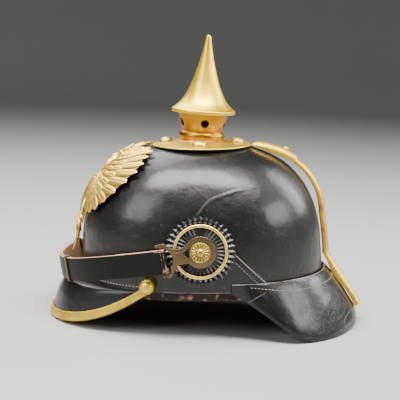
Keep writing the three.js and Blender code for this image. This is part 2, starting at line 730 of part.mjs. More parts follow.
function makePlate() {
  const columns = steps(14).map((u) => 2 * u - 1);
  const grid = (wall) => PLATE_ROWS.map((row) => columns.map((u) => overFront(
    u * row.halfWidth, row.z, row.stand + PLATE.edgeLift * u * u + wall)));
  const wings = facingOut(wallBetween(grid(PLATE.wall), grid(0), false));
  const posts = PLATE_POSTS.map((z) => {
    const { stand } = smoothRow(PLATE_ROWS, 'z', z);
    return pin(overFront(0, z, stand + PLATE.wall / 2), overFront(0, z, PLATE.postFoot), POST_RADIUS);
  });
  return cut(join(wings, ...posts), skullCore(GAP));
}

// ---------------------------------------------------------------- cockades and strap eyes

// Frame of a cockade: x level, y up along it and z outwards. On the left +x is rearwards.
function cockadeMatrix(side) {
  const seat = smoothRow(SKULL_SECTIONS, 'z', COCKADE.z).side + COCKADE.off;
  const lean = radians(COCKADE.lean);
  const up = new THREE.Vector3(-side * Math.sin(lean), 0, Math.cos(lean));
  const out = new THREE.Vector3(side * Math.cos(lean), 0, Math.sin(lean));
  return new THREE.Matrix4().makeBasis(up.clone().cross(out), up, out)
    .setPosition(side * seat, COCKADE.y, COCKADE.z);
}

// Points round a circle, with the radius given point by point.
function roundOutline(count, radiusOf) {
  return Array.from({ length: count }, (_, i) => {
    const angle = 2 * Math.PI * (i + 0.5) / count;
    return new THREE.Vector2(radiusOf(i) * Math.cos(angle), radiusOf(i) * Math.sin(angle));
  });
}

const shankHole = () => new THREE.Path(roundOutline(12, () => ROSETTE.shank + GAP));

function pleatedShape() {
  const reach = (i) => (i % 2 ? PLEATS.notch : PLEATS.radius);
  const shape = new THREE.Shape(roundOutline(PLEATS.teeth * 2, reach));
  shape.holes.push(shankHole());
  return shape;
}

function flatPiece(shape, from, wall, curveSegments = 8) {
  const settings = { depth: wall, bevelEnabled: false, curveSegments };
  return merged(new THREE.ExtrudeGeometry(shape, settings).translate(0, 0, from));
}

function makeRing(from) {
  const rows = steps(8).map((u) => ({
    radius: RING.radius + RING.tube * Math.cos(2 * Math.PI * u),
    z: from + RING.tube * RING.squash * (1 + Math.sin(2 * Math.PI * u)),
  }));
  return turned(rows, 36);
}

// Forked fitting: a round eye, a waist, and two prongs that carry a bar; -x is forwards.
function eyeOutline() {
  const corner = EYE.radius * Math.SQRT1_2;
  const shape = new THREE.Shape();
  shape.moveTo(-corner, corner);
  shape.quadraticCurveTo(-13.5, 3.4, -17.5, 3.0);
  shape.lineTo(-22.5, 2.8);
  shape.quadraticCurveTo(-26, 4.4, -29.4, 7.2);
  shape.lineTo(-36.8, 5.6);
  shape.lineTo(-36.6, 3.4);
  shape.lineTo(-30.6, 3.7);
  shape.quadraticCurveTo(-24, 1.2, -21.8, -5.5);
  shape.quadraticCurveTo(-21.4, -8.6, -24, -11.8);
  shape.lineTo(-23.4, -17.6);
  shape.lineTo(-30.4, -18.2);
  shape.lineTo(-30.2, -21);
  shape.lineTo(-23.4, -20.8);
  shape.lineTo(-20.6, -15.6);
  shape.lineTo(-18.2, -10.4);
  shape.quadraticCurveTo(-12, -9.2, -corner, -corner);
  shape.absarc(0, 0, EYE.radius, -0.75 * Math.PI, 0.75 * Math.PI, false);
  const points = shape.getPoints(6);
  return points.filter((p, i) => p.distanceTo(points[(i + 1) % points.length]) > 0.05);
}

function eyeShape() {
  const opening = [[-9, 3.8], [-14.8, -1.2], [-9, -5.2]].map(([x, y]) => new THREE.Vector2(x, y));
  const shape = new THREE.Shape(eyeOutline());
  shape.holes.push(shankHole(), new THREE.Path(opening));
  return shape;
}

// How far out each piece of the stack starts, from the cockade's back.
const RING_FROM = PLEATS.wall + GAP;
const EYE_FROM = RING_FROM + 2 * RING.tube * RING.squash + GAP;
const ROSETTE_FROM = EYE_FROM + EYE.wall + GAP;
const BAR_LEVEL = EYE_FROM + EYE.wall / 2;

const barPoint = ([forwards, up]) => new THREE.Vector3(-forwards, up, BAR_LEVEL);

function makeEye(side) {
  const plate = flatPiece(eyeShape(), EYE_FROM, EYE.wall);
  const bar = pin(barPoint(EYE_BAR.head), barPoint(EYE_BAR.foot), EYE_BAR.radius);
  return facingOut(join(facingOut(plate), bar).scale(side, 1, 1));
}

function makeRosette(from, back) {
  const { radius, height, shank } = ROSETTE;
  return turned([
    { radius: 0, z: back }, { radius: shank, z: back }, { radius: shank, z: from },
    { radius: radius - 0.6, z: from }, { radius, z: from + 0.8 }, { radius: radius - 0.5, z: from + 2 },
    { radius: radius * 0.8, z: from + 2.1 }, { radius: radius * 0.45, z: from + 2.5 },
    { radius: radius * 0.38, z: from + 3.8 }, { radius: radius * 0.2, z: from + height - 0.2 },
    { radius: 0, z: from + height },
  ], 20);
}

// ---------------------------------------------------------------- chin strap

const STRAP_SQUARE = [[0, 0], [1, 0], [1, 1], [0, 1]].map(([x, y]) => new THREE.Vector2(x, y));

function strapRoute(angle, inset) {
  const x = (STRAP_OVAL.side - inset) * Math.sin(angle);
  const y = -(STRAP_OVAL.front - inset) * Math.cos(angle);
  return new THREE.Vector3(x, y, smoothRow(STRAP_COURSE, 'y', y).z);
}

// The fitting's bar where the strap grips it: its middle, its direction and those across it.
function barFrame(side) {
  const toHelmet = cockadeMatrix(side);
  const place = (point) => point.multiply(new THREE.Vector3(side, 1, 1)).applyMatrix4(toHelmet);
  const head = place(barPoint(EYE_BAR.head));
  const foot = place(barPoint(EYE_BAR.foot));
  const share = (EYE_BAR.head[1] - STRAP_GRIP.up) / (EYE_BAR.head[1] - EYE_BAR.foot[1]);
  const up = head.clone().sub(foot).normalize();
  const out = new THREE.Vector3(side, 0, 0).addScaledVector(up, -side * up.x).normalize();
  const back = up.clone().cross(out).multiplyScalar(side).normalize();
  return { middle: head.lerp(foot, share), up, out, back };
}

const LAYER = STRAP_WALL + GAP;
const BAR_TURN = EYE_BAR.radius + GAP + STRAP_WALL / 2;

// The directions of the strap at an angle from the front: its middle, up across it and outwards.
// Towards the bar they pass over into those of the bar.
function strapFrame(angle, inset) {
  const middle = strapRoute(angle, inset);
  const along = strapRoute(angle + 1e-3, inset).sub(middle).normalize();
  const level = new THREE.Vector3(-along.y, along.x, 0).normalize();
  if (level.dot(middle) < 0) level.negate();
  const lean = radians(smoothRow(STRAP_COURSE, 'y', middle.y).lean);
  const upright = along.clone().cross(level).normalize();
  if (upright.z < 0) upright.negate();
  const up = upright.clone().multiplyScalar(Math.cos(lean)).addScaledVector(level, Math.sin(lean));
  const bar = barFrame(Math.sign(angle));
  const degrees = THREE.MathUtils.radToDeg(Math.abs(angle));
  const nearBar = THREE.MathUtils.smoothstep(degrees, STRAP_END - STRAP_EASE, STRAP_END);
  middle.lerp(bar.middle.clone().addScaledVector(bar.out, BAR_TURN), nearBar);
  up.lerp(bar.up, nearBar).normalize();
  const out = level.addScaledVector(up, -level.dot(up)).normalize().lerp(bar.out, nearBar).normalize();
  return { middle, up, out };
}

// The corners of the strap's section round a middle.
function strapSection(middle, up, out) {
  return [[0.5, 0.5], [0.5, -0.5], [-0.5, -0.5], [-0.5, 0.5]].map(([o, u]) => middle.clone()
    .addScaledVector(out, o * STRAP_WALL).addScaledVector(up, u * STRAP_WIDTH));
}

// Half a strap: from its lapped end to the bar, round the bar, and a short way back inside.
function makeStrap(side, inset) {
  const end = side * radians(STRAP_END);
  const lap = -side * radians(STRAP_LAP);
  const way = steps(34).map((u) => strapFrame(lap + (end - lap) * u, inset));
  const rings = way.map(({ middle, up, out }) => strapSection(middle, up, out));
  const { middle, up, out, back } = barFrame(side);
  for (const turn of [45, 90, 135].map(radians)) {
    const normal = out.clone().multiplyScalar(Math.cos(turn)).addScaledVector(back, Math.sin(turn));
    rings.push(strapSection(middle.clone().addScaledVector(normal, BAR_TURN), up, normal));
  }
  for (const u of steps(8)) {
    const outer = strapFrame(end - side * radians(STRAP_RETURN) * u, inset);
    const close = THREE.MathUtils.smoothstep(u, 0, 0.7);
    const inwards = 2 * BAR_TURN + (STRAP_WALL + STRAP_GRIP.layerGap - 2 * BAR_TURN) * close;
    const normal = outer.out.clone().negate();
    rings.push(strapSection(outer.middle.clone().addScaledVector(normal, inwards), outer.up, normal));
  }
  return facingOut(sweepOf(rings, STRAP_SQUARE));
}

function makeSlide(side) {
  const angle = side * radians(SLIDE.angle);
  const { middle, up, out } = strapFrame(angle, LAYER / 2);
  const depth = LAYER + STRAP_WALL + 2 * GAP;
  const height = STRAP_WIDTH + 2 * GAP;
  const grow = 2 * SLIDE.wall;
  const frame = new THREE.Matrix4().makeBasis(out, up, out.clone().cross(up)).setPosition(middle);
  const block = new THREE.BoxGeometry(depth + grow, height + grow, SLIDE.length).applyMatrix4(frame);
  const room = new THREE.BoxGeometry(depth, height, SLIDE.length * 2).applyMatrix4(frame);
  return cut(block, room);
}

// ---------------------------------------------------------------- assembly

function makeSpikeGroup() {
  const group = new THREE.Group();
  group.position.set(0, SPIKE_AXIS_Y, 0);
  group.add(piece('spike_base', makeSpikeBase(), brass));
  const studs = { left: 0, rear: 90, right: 180, front: 270 };
  for (const [name, turn] of Object.entries(studs)) {
    const stud = piece(`base_stud_${name}`, makeStud(), brass);
    stud.rotation.z = radians(turn + STUD.turn);
    group.add(stud);
  }
  const leaning = new THREE.Group();
  leaning.position.z = BOSS.top;
  leaning.rotation.x = -radians(SPIKE_LEAN);
  leaning.add(piece('spike_neck', makeNeck(), brass));
  leaning.add(piece('spike', makeSpike(), brass));
  group.add(leaning);
  return group;
}

function makeCockade(side, name) {
  const group = new THREE.Group();
  group.applyMatrix4(cockadeMatrix(side));
  group.add(piece(`cockade_${name}`, flatPiece(pleatedShape(), 0, PLEATS.wall, 6), pleatedBlack));
  group.add(piece(`cockade_ring_${name}`, makeRing(RING_FROM), brass));
  group.add(piece(`strap_eye_${name}`, makeEye(side), darkBrass));
  group.add(piece(`rosette_${name}`, makeRosette(ROSETTE_FROM, GAP - COCKADE.off), brass));
  return group;
}

function makeHelmet() {
  const helmet = new THREE.Group();
  helmet.add(piece('skull', makeSkull(), blackLeather));
  helmet.add(piece('sweatband', makeSweatband(), wornLeather));
  helmet.add(piece('front_visor', makeFrontVisor(), blackLeather));
  helmet.add(piece('rear_visor', makeRearVisor(), blackLeather));
  helmet.add(piece('visor_trim', makeTrim(), brass));
  helmet.add(makeSpikeGroup());
  helmet.add(piece('rear_spine', makeRearSpine(), brass));
  helmet.add(piece('spine_cap', makeSpineCap(), brass));
  helmet.add(piece('vent_slider', makeSlider(), brass));
  helmet.add(piece('vent_knob', makeSliderKnob(), brass));
  helmet.add(piece('front_plate', makePlate(), giltBrass));
  helmet.add(piece('chin_strap_left', makeStrap(1, 0), blackLeather));
  helmet.add(piece('chin_strap_right', makeStrap(-1, LAYER), blackLeather));
  for (const [name, side] of Object.entries({ left: 1, right: -1 })) {
    helmet.add(piece(`trim_ball_${name}`, makeTrimBall(side), brass));
    helmet.add(piece(`strap_slide_${name}`, makeSlide(side), darkBrass));
    helmet.add(makeCockade(side, name));
  }
  helmet.applyMatrix4(restMatrix());
  return helmet;
}

export default makeHelmet();
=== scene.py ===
# %% [markdown]
# # A spiked leather helmet
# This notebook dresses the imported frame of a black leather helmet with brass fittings: a dome
# with two visors, a brass spike on a round base, a rear spine with a small vent slider, an
# embossed eagle, pleated cockades and a chin strap. The frame fixes sizes and places. Every
# visible surface is worked out here with numpy, in millimetres, and set down in that frame.

# %% Load the frame
import bpy
import bmesh
import math
import numpy as np
from mathutils import Matrix, Vector


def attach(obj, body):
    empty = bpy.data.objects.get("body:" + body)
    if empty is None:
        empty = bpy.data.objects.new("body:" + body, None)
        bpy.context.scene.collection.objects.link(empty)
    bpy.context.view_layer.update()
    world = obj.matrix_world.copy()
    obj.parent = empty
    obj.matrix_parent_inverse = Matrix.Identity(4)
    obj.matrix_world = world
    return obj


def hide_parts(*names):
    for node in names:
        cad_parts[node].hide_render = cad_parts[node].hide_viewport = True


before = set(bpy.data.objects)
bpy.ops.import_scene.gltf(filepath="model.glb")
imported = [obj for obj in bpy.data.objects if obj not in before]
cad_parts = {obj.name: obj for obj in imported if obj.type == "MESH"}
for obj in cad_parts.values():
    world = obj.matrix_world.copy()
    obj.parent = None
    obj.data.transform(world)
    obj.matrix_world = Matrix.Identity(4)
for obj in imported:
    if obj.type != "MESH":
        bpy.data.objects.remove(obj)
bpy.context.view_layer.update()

# %% [markdown]
# The helmet is easiest to describe in its own frame: z = 0 is the lower edge of the skull, -y is
# the front and +x the wearer's left. Standing by itself it tips slightly onto its front visor,
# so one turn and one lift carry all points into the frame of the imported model, in metres.

# %% From the helmet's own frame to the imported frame
REST_TILT, REST_SHIFT, REST_HEIGHT = math.radians(2.2), -6.0, 40.05
SIDES = ((1, "left"), (-1, "right"))


def split(points):
    """Each coordinate of the points as an array."""
    return np.moveaxis(np.asarray(points, float), -1, 0)


def join(*coordinates):
    """Points from their coordinates, which are first stretched to one shape."""
    return np.stack(np.broadcast_arrays(*coordinates), -1)


def swing(a, b, angle):
    """Two coordinates turned by an angle, from the first towards the second."""
    c, s = math.cos(angle), math.sin(angle)
    return c * a - s * b, s * a + c * b


def to_rest(points):
    """Turns points about x by the rest tilt, lifts and shifts them, and makes them metres.
    Leather and brass that would reach below the table are pressed flat on it, at z = 0."""
    x, y, z = split(points)
    y, z = swing(y, z, REST_TILT)
    return join(x, y + REST_SHIFT, np.maximum(z + REST_HEIGHT, 0)) / 1000


print("skull edge in front, row frame:", to_rest((0, -104, 0)).round(4))

# %% [markdown]
# A curved form is kept as a short table of measured stations and read with a Catmull-Rom
# curve, which passes through every station and bends smoothly between them. Reading it with
# whole arrays gives thousands of points at once.

# %% Smooth tables and small curves


def smooth(table, place):
    """Catmull-Rom curve through the rows of a table, at places counted in rows from 0."""
    rows = np.asarray(table, float)
    last = len(rows) - 1
    place = np.clip(np.asarray(place, float), 0, last)
    i = np.minimum(place.astype(int), last - 1)
    f = (place - i)[..., None]
    ends = np.vstack([2 * rows[0] - rows[1], rows, 2 * rows[-1] - rows[-2]])
    a, b, c, d = (ends[i + k] for k in range(4))
    return 0.5 * (2 * b + (c - a) * f + (2 * a - 5 * b + 4 * c - d) * f**2 + (3 * b - a - 3 * c + d) * f**3)


def smooth_through(table, count):
    """The whole of that curve, in evenly spread points."""
    return smooth(table, np.linspace(0, len(table) - 1, count))


def place_of(table, column, values):
    """The place where a rising or falling column of a table has given values."""
    fine = np.linspace(0, len(table) - 1, 60 * (len(table) - 1) + 1)
    run = smooth(table, fine)[:, column]
    if run[-1] < run[0]:
        run, values = -run, -np.asarray(values, float)
    return np.interp(values, np.maximum.accumulate(run), fine)


def look_up(table, values):
    """A table's rows where its first column has given values."""
    return smooth(table, place_of(table, 0, values))


def ease(x, low, high):
    """0 below low and 1 above high, with the blend 3t^2 - 2t^3 between."""
    t = np.clip((np.asarray(x, float) - low) / (high - low), 0, 1)
    return t * t * (3 - 2 * t)


def bell(x, middle, width):
    """exp(-((x - middle) / width)^2)."""
    return np.exp(-(((x - middle) / width) ** 2))


def dome(t, power=2):
    """(1 - |t|^power)^0.5, and 0 beyond -1 and 1."""
    return np.clip(1 - np.abs(t) ** power, 0, 1) ** 0.5


def ring(count):
    """Angles spread evenly all the way round."""
    return np.linspace(0, 2 * np.pi, count, endpoint=False)


def unit(vectors):
    return vectors / np.linalg.norm(vectors, axis=-1, keepdims=True)


def path_run(path):
    """Length along a path, or each path of a stack, to each of its points."""
    steps = np.linalg.norm(np.diff(path, axis=-2), axis=-1)
    return np.cumsum(np.concatenate([0 * steps[..., :1], steps], -1), -1)


# %% The skull's outlines
OVAL_POWER = 2.12
CROWN_HOLE = 9.0
SKULL = [  # height, reach to the front, to the rear, to each side
    (0, 104.0, 108.4, 84.0), (10, 104.6, 108.3, 85.3), (23, 104.8, 107.6, 86.0),
    (45, 103.4, 105.5, 84.6), (64, 98.4, 100.6, 80.5), (82, 88.6, 91.0, 72.5),
    (97, 73.8, 77.0, 61.0), (106.5, 59.0, 60.5, 49.5), (112.4, 42.5, 42.5, 37.0),
    (115.2, 22.5, 23.0, 21.0), (115.9, CROWN_HOLE, CROWN_HOLE, CROWN_HOLE),
]


def oval_reach(front, rear, side, angle):
    """Reach of a superellipse in a direction: (|sin/side|^p + |cos/along|^p)^(-1/p)."""
    along = np.where(np.cos(angle) > 0, front, rear)
    total = np.abs(np.sin(angle) / side) ** OVAL_POWER + np.abs(np.cos(angle) / along) ** OVAL_POWER
    return total ** (-1 / OVAL_POWER)


def skull_reach(z, angle, inset=0):
    """The skull's reach at a height, less an inset."""
    _, front, rear, side = split(look_up(SKULL, z))
    return oval_reach(front - inset, rear - inset, side - inset, angle)


def polar(reach, angle, z):
    """A point by its reach and its angle from the front, towards the wearer's left."""
    return join(reach * np.sin(angle), -reach * np.cos(angle), z)


def skull_surface(angle, place):
    """The skull's outer face: the oval outline at a place in the table, in a direction."""
    z, front, rear, side = split(smooth(SKULL, place))
    return polar(oval_reach(front, rear, side, angle), angle, z)


def normal_of(surface, u, v, outwards=1):
    """The surface's normal: the cross product of its two slopes over a small step."""
    h = 1e-3
    across = surface(u + h, v) - surface(u - h, v)
    along = surface(u, v + h) - surface(u, v - h)
    return unit(np.cross(across, along)) * outwards


print("crown height above the skull's edge:", SKULL[-1][0], "mm")

# %% [markdown]
# Leather and old brass are never quite true. A lattice noise gives soft random heights: random
# numbers sit on a cubic lattice and are blended between its corners. It repeats exactly on
# every run, because the numbers come from the lattice places themselves.

# %% Soft random heights


def bumps(points, size, seed):
    """Random heights from -1 to 1 on a lattice of a given cell size, blended with 3f^2 - 2f^3."""
    q = np.asarray(points, float) / size + 500.0
    cell = np.floor(q).astype(np.int64)
    w = ease(q - cell, 0, 1)
    total = 0
    for corner in np.ndindex(2, 2, 2):
        i, j, k = np.moveaxis(cell + np.array(corner), -1, 0)
        mixed = (i * 73856093) ^ (j * 19349663) ^ (k * 83492791) ^ (seed * 26544357)
        mixed = (mixed ^ (mixed >> 13)) * 1274126177 % 1000003
        weight = np.prod(np.where(np.array(corner), w, 1 - w), axis=-1)
        total = total + weight * (mixed / 500001.0 - 1)
    return total


# %% [markdown]
# Every piece starts as one or more grids of points. Their faces are quads between neighbours,
# and a grid may close on itself in either direction. Points that coincide are merged, which
# also closes poles and seams, and the faces are then turned to point outwards.

# %% From grids to a piece
EDGE_TURNS = 5


def grid_quads(at, wrap_rows, wrap_columns):
    """The quads between neighbours in a stack of grids of point numbers."""
    if wrap_rows:
        at = np.concatenate([at, at[:, :1]], 1)
    if wrap_columns:
        at = np.concatenate([at, at[..., :1]], 2)
    return np.stack([at[:, :-1, :-1], at[:, :-1, 1:], at[:, 1:, 1:], at[:, 1:, :-1]], -1).reshape(-1, 4)


def make_piece(name, grids, finish, stands_for=None, body="helmet", sharp=40, **notes):
    """A mesh from grids (points, wrap rows, wrap columns), or stacks of equal grids; notes are
    numbers kept at the points, row by row from the first one, and 0 on the rest."""
    quads, first = [], 0
    for grid, wrap_rows, wrap_columns in grids:
        count = int(np.prod(grid.shape[:-1]))
        at = np.arange(first, first + count).reshape(-1, *grid.shape[-3:-1])
        quads.append(grid_quads(at, wrap_rows, wrap_columns))
        first += count
    points = np.concatenate([np.reshape(grid[0], (-1, 3)) for grid in grids])
    quads = np.concatenate(quads)
    mesh = bpy.data.meshes.new(name)
    mesh.vertices.add(len(points))
    mesh.vertices.foreach_set("co", to_rest(points).astype(np.float32).ravel())
    mesh.loops.add(quads.size)
    mesh.loops.foreach_set("vertex_index", quads.astype(np.int32).ravel())
    mesh.polygons.add(len(quads))
    mesh.polygons.foreach_set("loop_start", np.arange(0, quads.size, 4, dtype=np.int32))
    mesh.update(calc_edges=True)
    for note, values in notes.items():
        layer = mesh.attributes.new(note, "FLOAT", "POINT")
        values = np.concatenate([np.ravel(v) for v in values])
        layer.data.foreach_set("value", np.pad(values, (0, len(points) - len(values))).astype(np.float32))
    finish_piece(name, mesh, finish, stands_for, body, sharp)


def finish_piece(name, mesh, finish, stands_for=None, body="helmet", sharp=40):
    """Merges and turns the faces outwards, keeps edges over an angle sharp, and rides the body."""
    work = bmesh.new()
    work.from_mesh(mesh)
    bmesh.ops.remove_doubles(work, verts=work.verts, dist=2e-6)
    bmesh.ops.dissolve_degenerate(work, edges=work.edges, dist=1e-7)
    bmesh.ops.recalc_face_normals(work, faces=work.faces)
    open_edges = sum(1 for e in work.edges if len(e.link_faces) != 2)
    work.to_mesh(mesh)
    work.free()
    mesh.shade_smooth()
    mesh.set_sharp_from_angle(angle=math.radians(sharp))
    mesh.materials.append(finish.material)
    piece = bpy.data.objects.new(name, mesh)
    bpy.context.scene.collection.objects.link(piece)
    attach(piece, body)
    if stands_for:
        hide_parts(stands_for)
    mesh.calc_loop_triangles()
    print(f"{name}: {len(mesh.loop_triangles)} triangles, {open_edges} open edges")


def round_wall(outer, inner, start_bulge, end_bulge):
    """A wall's outer rows, a half-round edge, its inner rows backwards and a second such edge.
    Both edges swell from the middle of the thickness by their bulge, along the outer face."""
    phase = np.linspace(0, math.pi, EDGE_TURNS + 2)[1:-1, None, None]

    def edge(a, b, ahead, bulge):
        return (a + b) / 2 + (a - b) / 2 * np.cos(phase) + unit(ahead) * bulge * np.sin(phase)

    end = edge(outer[-1], inner[-1], outer[-1] - outer[-2], end_bulge)
    start = edge(inner[0], outer[0], outer[0] - outer[1], start_bulge)
    return np.concatenate([outer, end, inner[::-1], start])


def with_caps(wall):
    """A wall that does not run all the way round, and both its ends, closed rib by rib."""
    half = len(wall) // 2
    ends = [(np.stack([wall[:half, c], wall[::-1, c][:half]], 1), False, False) for c in (0, -1)]
    return [(wall, True, False), *ends]


# %% [markdown]
# ## Finishes
# Shader maths reads best as ordinary sums. `Wire` wraps a socket so that `+`, `-` and `*` add
# Math nodes, and `Finish.node` makes any other node from its type, settings and inputs.

# %% Writing shaders as expressions


class Wire:
    """One output socket; arithmetic on it adds Math nodes."""

    def __init__(self, finish, socket):
        self.finish, self.socket = finish, socket

    def maths(self, operation, *values):
        return self.finish.node("ShaderNodeMath", {"operation": operation}, dict(enumerate(values)))

    def __add__(self, other):
        return self.maths("ADD", self, other)

    def __sub__(self, other):
        return self.maths("SUBTRACT", self, other)

    def __rsub__(self, other):
        return self.maths("SUBTRACT", other, self)

    def __mul__(self, other):
        return self.maths("MULTIPLY", self, other)

    def __abs__(self):
        return self.maths("ABSOLUTE", self)

    def at_most(self, limit):
        return self.maths("MINIMUM", self, limit)

    __radd__, __rmul__ = __add__, __mul__


class Finish:
    """A material with one Principled shader, built up node by node, and the slot it shows."""

    def __init__(self, name, slot=None, **constants):
        self.material, self.slot = bpy.data.materials.new(name), slot
        self.material.use_nodes = True
        self.tree = self.material.node_tree
        self.place = self.node("ShaderNodeTexCoord", output="Object")
        self.put(**constants)

    def put(self, **sockets):
        """Sets or links the shader's own sockets; underscores stand for spaces."""
        for name, value in sockets.items():
            self.join(self.tree.nodes["Principled BSDF"].inputs[name.replace("_", " ")], value)

    def join(self, socket, value):
        if isinstance(value, Wire):
            self.tree.links.new(value.socket, socket)
        elif socket.type == "RGBA":
            socket.default_value = (*value, 1)
        else:
            socket.default_value = value

    def node(self, kind, settings=None, inputs=None, output=0):
        """Makes a node: settings first, then inputs by number or name; gives one output."""
        made = self.tree.nodes.new(kind)
        for key, value in (settings or {}).items():
            setattr(made, key, value)
        for key, value in (inputs or {}).items():
            self.join(made.inputs[key], value)
        return Wire(self, made.outputs[output])

    def noise(self, scale, detail=2.0, roughness=0.5, stretch=None, turn=(0, 0, 0)):
        """Noise per metre of the piece, from 0 to 1; stretch draws it out along axes."""
        place = self.place
        if stretch:
            place = self.node("ShaderNodeMapping", None, {"Vector": place, "Scale": stretch, "Rotation": turn})
        inputs = {"Vector": place, "Scale": scale, "Detail": detail, "Roughness": roughness}
        return self.node("ShaderNodeTexNoise", None, inputs)

    def cells(self, scale, feature):
        """A distance in a pattern of cells."""
        inputs = {"Vector": self.place, "Scale": scale}
        return self.node("ShaderNodeTexVoronoi", {"feature": feature}, inputs, "Distance")

    def note(self, name):
        """A number kept at each point of the mesh."""
        return self.node("ShaderNodeAttribute", {"attribute_name": name}, None, "Fac")

    def ease(self, value, low, high):
        """0 below low, 1 above high and a smooth step between."""
        inputs = {"Value": value, "From Min": low, "From Max": high}
        return self.node("ShaderNodeMapRange", {"interpolation_type": "SMOOTHSTEP"}, inputs)

    def mix(self, share, first, second):
        """Two colours mixed by a share."""
        return self.node("ShaderNodeMix", {"data_type": "RGBA"}, {0: share, 6: first, 7: second}, 2)

    def bump(self, height, strength):
        """A normal from heights in metres."""
        return self.node("ShaderNodeBump", None, {"Height": height, "Distance": 1.0, "Strength": strength})


# %% [markdown]
# The leather is lacquered black and has aged: a fine pebble grain, soft dents that break up the
# gloss, scuffs where the lacquer has dulled to grey, and hairline scratches. Fine lines such as
# creases are kept at each point as a distance to the line, so they stay thin on any mesh. Along
# such a line the colour has painted shade in the groove and a painted highlight on its lip.

# %% Black leather


def black_leather(name, gloss=0.3, grain=1.0, scuff=1.0, crazing=0.0):
    """Lacquered leather. Notes: line is the distance to a crease in mm and show is 1 where it is
    seen; seam and sewn say the same of a rubbed seam edge; edge is 1 on rubbed cut edges and
    inside is 1 on the raw brown side."""
    f = Finish(name, "black_leather", Coat_Roughness=0.2, Coat_IOR=1.5, Specular_IOR_Level=0.28)
    cloudy, dented, fine = f.noise(26, 3.0), f.noise(95, 2.0), f.noise(1500, 2.0)
    hair = f.ease(f.noise(300, 1.0, stretch=(0.05, 1.0, 1.6), turn=(0.5, 0.3, 0.8)), 0.74, 0.78)
    dull = f.ease(f.noise(60, 5.0, 0.65), 0.58, 0.78) * scuff
    line, show, inside = abs(f.note("line")), f.note("show"), f.note("inside")
    rubbed = (1 - f.ease(abs(f.note("seam")), 0.2, 0.6)) * f.note("sewn") + f.note("edge")
    rubbed = (rubbed * f.ease(f.noise(190, 3.0), 0.3, 0.5)).at_most(1.0)
    cracks = 1 - f.ease(f.cells(260.0, "DISTANCE_TO_EDGE"), 0.0, 0.09)
    cracks = cracks * f.ease(f.noise(34, 2.0), 0.42, 0.6) * crazing
    # Painted shade darkens the groove of a crease or scratch, and a painted highlight lightens its lip.
    groove = (1 - f.ease(line, 0.1, 0.6)) * show
    lip = f.ease(line, 0.3, 0.6) * (1 - f.ease(line, 0.6, 1.3)) * show
    black = f.mix(cloudy, (0.002, 0.002, 0.0024), (0.006, 0.0058, 0.0055))
    greyed = f.mix(dull * 0.2, black, (0.05, 0.048, 0.045))
    scratched = f.mix(hair * 0.25, greyed, (0.16, 0.15, 0.14))
    # Lighter greys: the painted highlight on a crease's lip and the crazing, then the rubbed seams and edges.
    lip_highlight_and_wear = f.mix(lip * 0.4 + cracks * 0.15, scratched, (0.2, 0.19, 0.17))
    lip_highlight_and_wear = f.mix(rubbed * 0.8, lip_highlight_and_wear, (0.24, 0.215, 0.185))
    outside = f.mix(groove * 0.6, lip_highlight_and_wear, (0.004, 0.004, 0.004))
    f.put(Base_Color=f.mix(inside, outside, f.mix(cloudy, (0.03, 0.016, 0.01), (0.10, 0.052, 0.032))))
    f.put(Roughness=gloss + dented * 0.14 + dull * 0.16 + fine * 0.06 + inside * 0.35)
    f.put(Coat_Weight=(0.46 - dull * 0.25 - dented * 0.2) * (1 - inside))
    height = f.cells(820.0, "F1") * (0.00009 * grain) + fine * (0.00003 * grain) + dented * 0.00095
    height = height + cloudy * 0.0017 - groove * 0.0003 + lip * 0.00015
    f.put(Normal=f.bump(height - hair * 0.00003 - cracks * 0.00022, 0.8))
    return f


SKULL_LEATHER = black_leather("skull_leather")
FRONT_LEATHER = black_leather("front_visor_leather", grain=1.6, scuff=0.8)
REAR_LEATHER = black_leather("rear_visor_leather", gloss=0.27, grain=0.9, scuff=1.2, crazing=0.5)

# %% [markdown]
# Strap leather is black on its face only. Its cut edges and flesh side are tan, and where the
# black has worn off over the fold a red brown comes through.

# %% Strap and sweatband leather, and thread


def strap_leather(name):
    """Notes: face is 1 on the blackened side, worn is 1 at the rubbed fold."""
    f = Finish(name, "strap_leather", Specular_IOR_Level=0.14, Coat_Roughness=0.25)
    mottle, fibre = f.noise(420, 4.0, 0.6), f.noise(1600, 3.0, 0.7)
    streak = f.noise(500, 2.0, stretch=(0.25, 0.25, 2.5))
    face = f.ease(f.note("face") + (mottle - 0.5) * 0.5, 0.42, 0.6)
    worn = f.ease(f.note("worn") + (mottle - 0.5) * 0.9, 0.45, 0.7)
    tan = f.mix(mottle, (0.62, 0.40, 0.27), (0.33, 0.17, 0.10))
    black = f.mix(streak, (0.002, 0.002, 0.002), (0.007, 0.0068, 0.0065))
    red = f.mix(f.ease(f.noise(900, 3.0), 0.4, 0.7), (0.05, 0.014, 0.008), (0.42, 0.24, 0.17))
    f.put(Base_Color=f.mix(face, tan, f.mix(worn, black, red)))
    f.put(Roughness=0.62 - face * 0.2 + worn * 0.2 + streak * 0.08, Coat_Weight=face * 0.05)
    f.put(Normal=f.bump(fibre * 0.00006 + mottle * 0.00022 + streak * 0.0002, 0.8))
    return f


def sweatband_leather(name):
    """Greasy brown leather; its rubbed lower edge is pale and reddish (the note "edge")."""
    f = Finish(name, "brown_leather", Specular_IOR_Level=0.35)
    mottle, fibre = f.noise(120, 5.0, 0.65), f.noise(1300, 3.0, 0.7)
    rubbed = f.ease(f.note("edge") + (f.noise(150, 4.0, 0.6) - 0.5) * 1.5, 0.62, 0.95)
    brown = f.mix(mottle, (0.003, 0.002, 0.0018), (0.020, 0.010, 0.007))
    f.put(Base_Color=f.mix(rubbed, brown, (0.42, 0.23, 0.15)), Roughness=0.55 + mottle * 0.25)
    f.put(Normal=f.bump(fibre * 0.00008 + mottle * 0.0007, 0.8))
    return f


STRAP_LEATHER = strap_leather("strap_leather")
SWEATBAND_LEATHER = sweatband_leather("sweatband_leather")
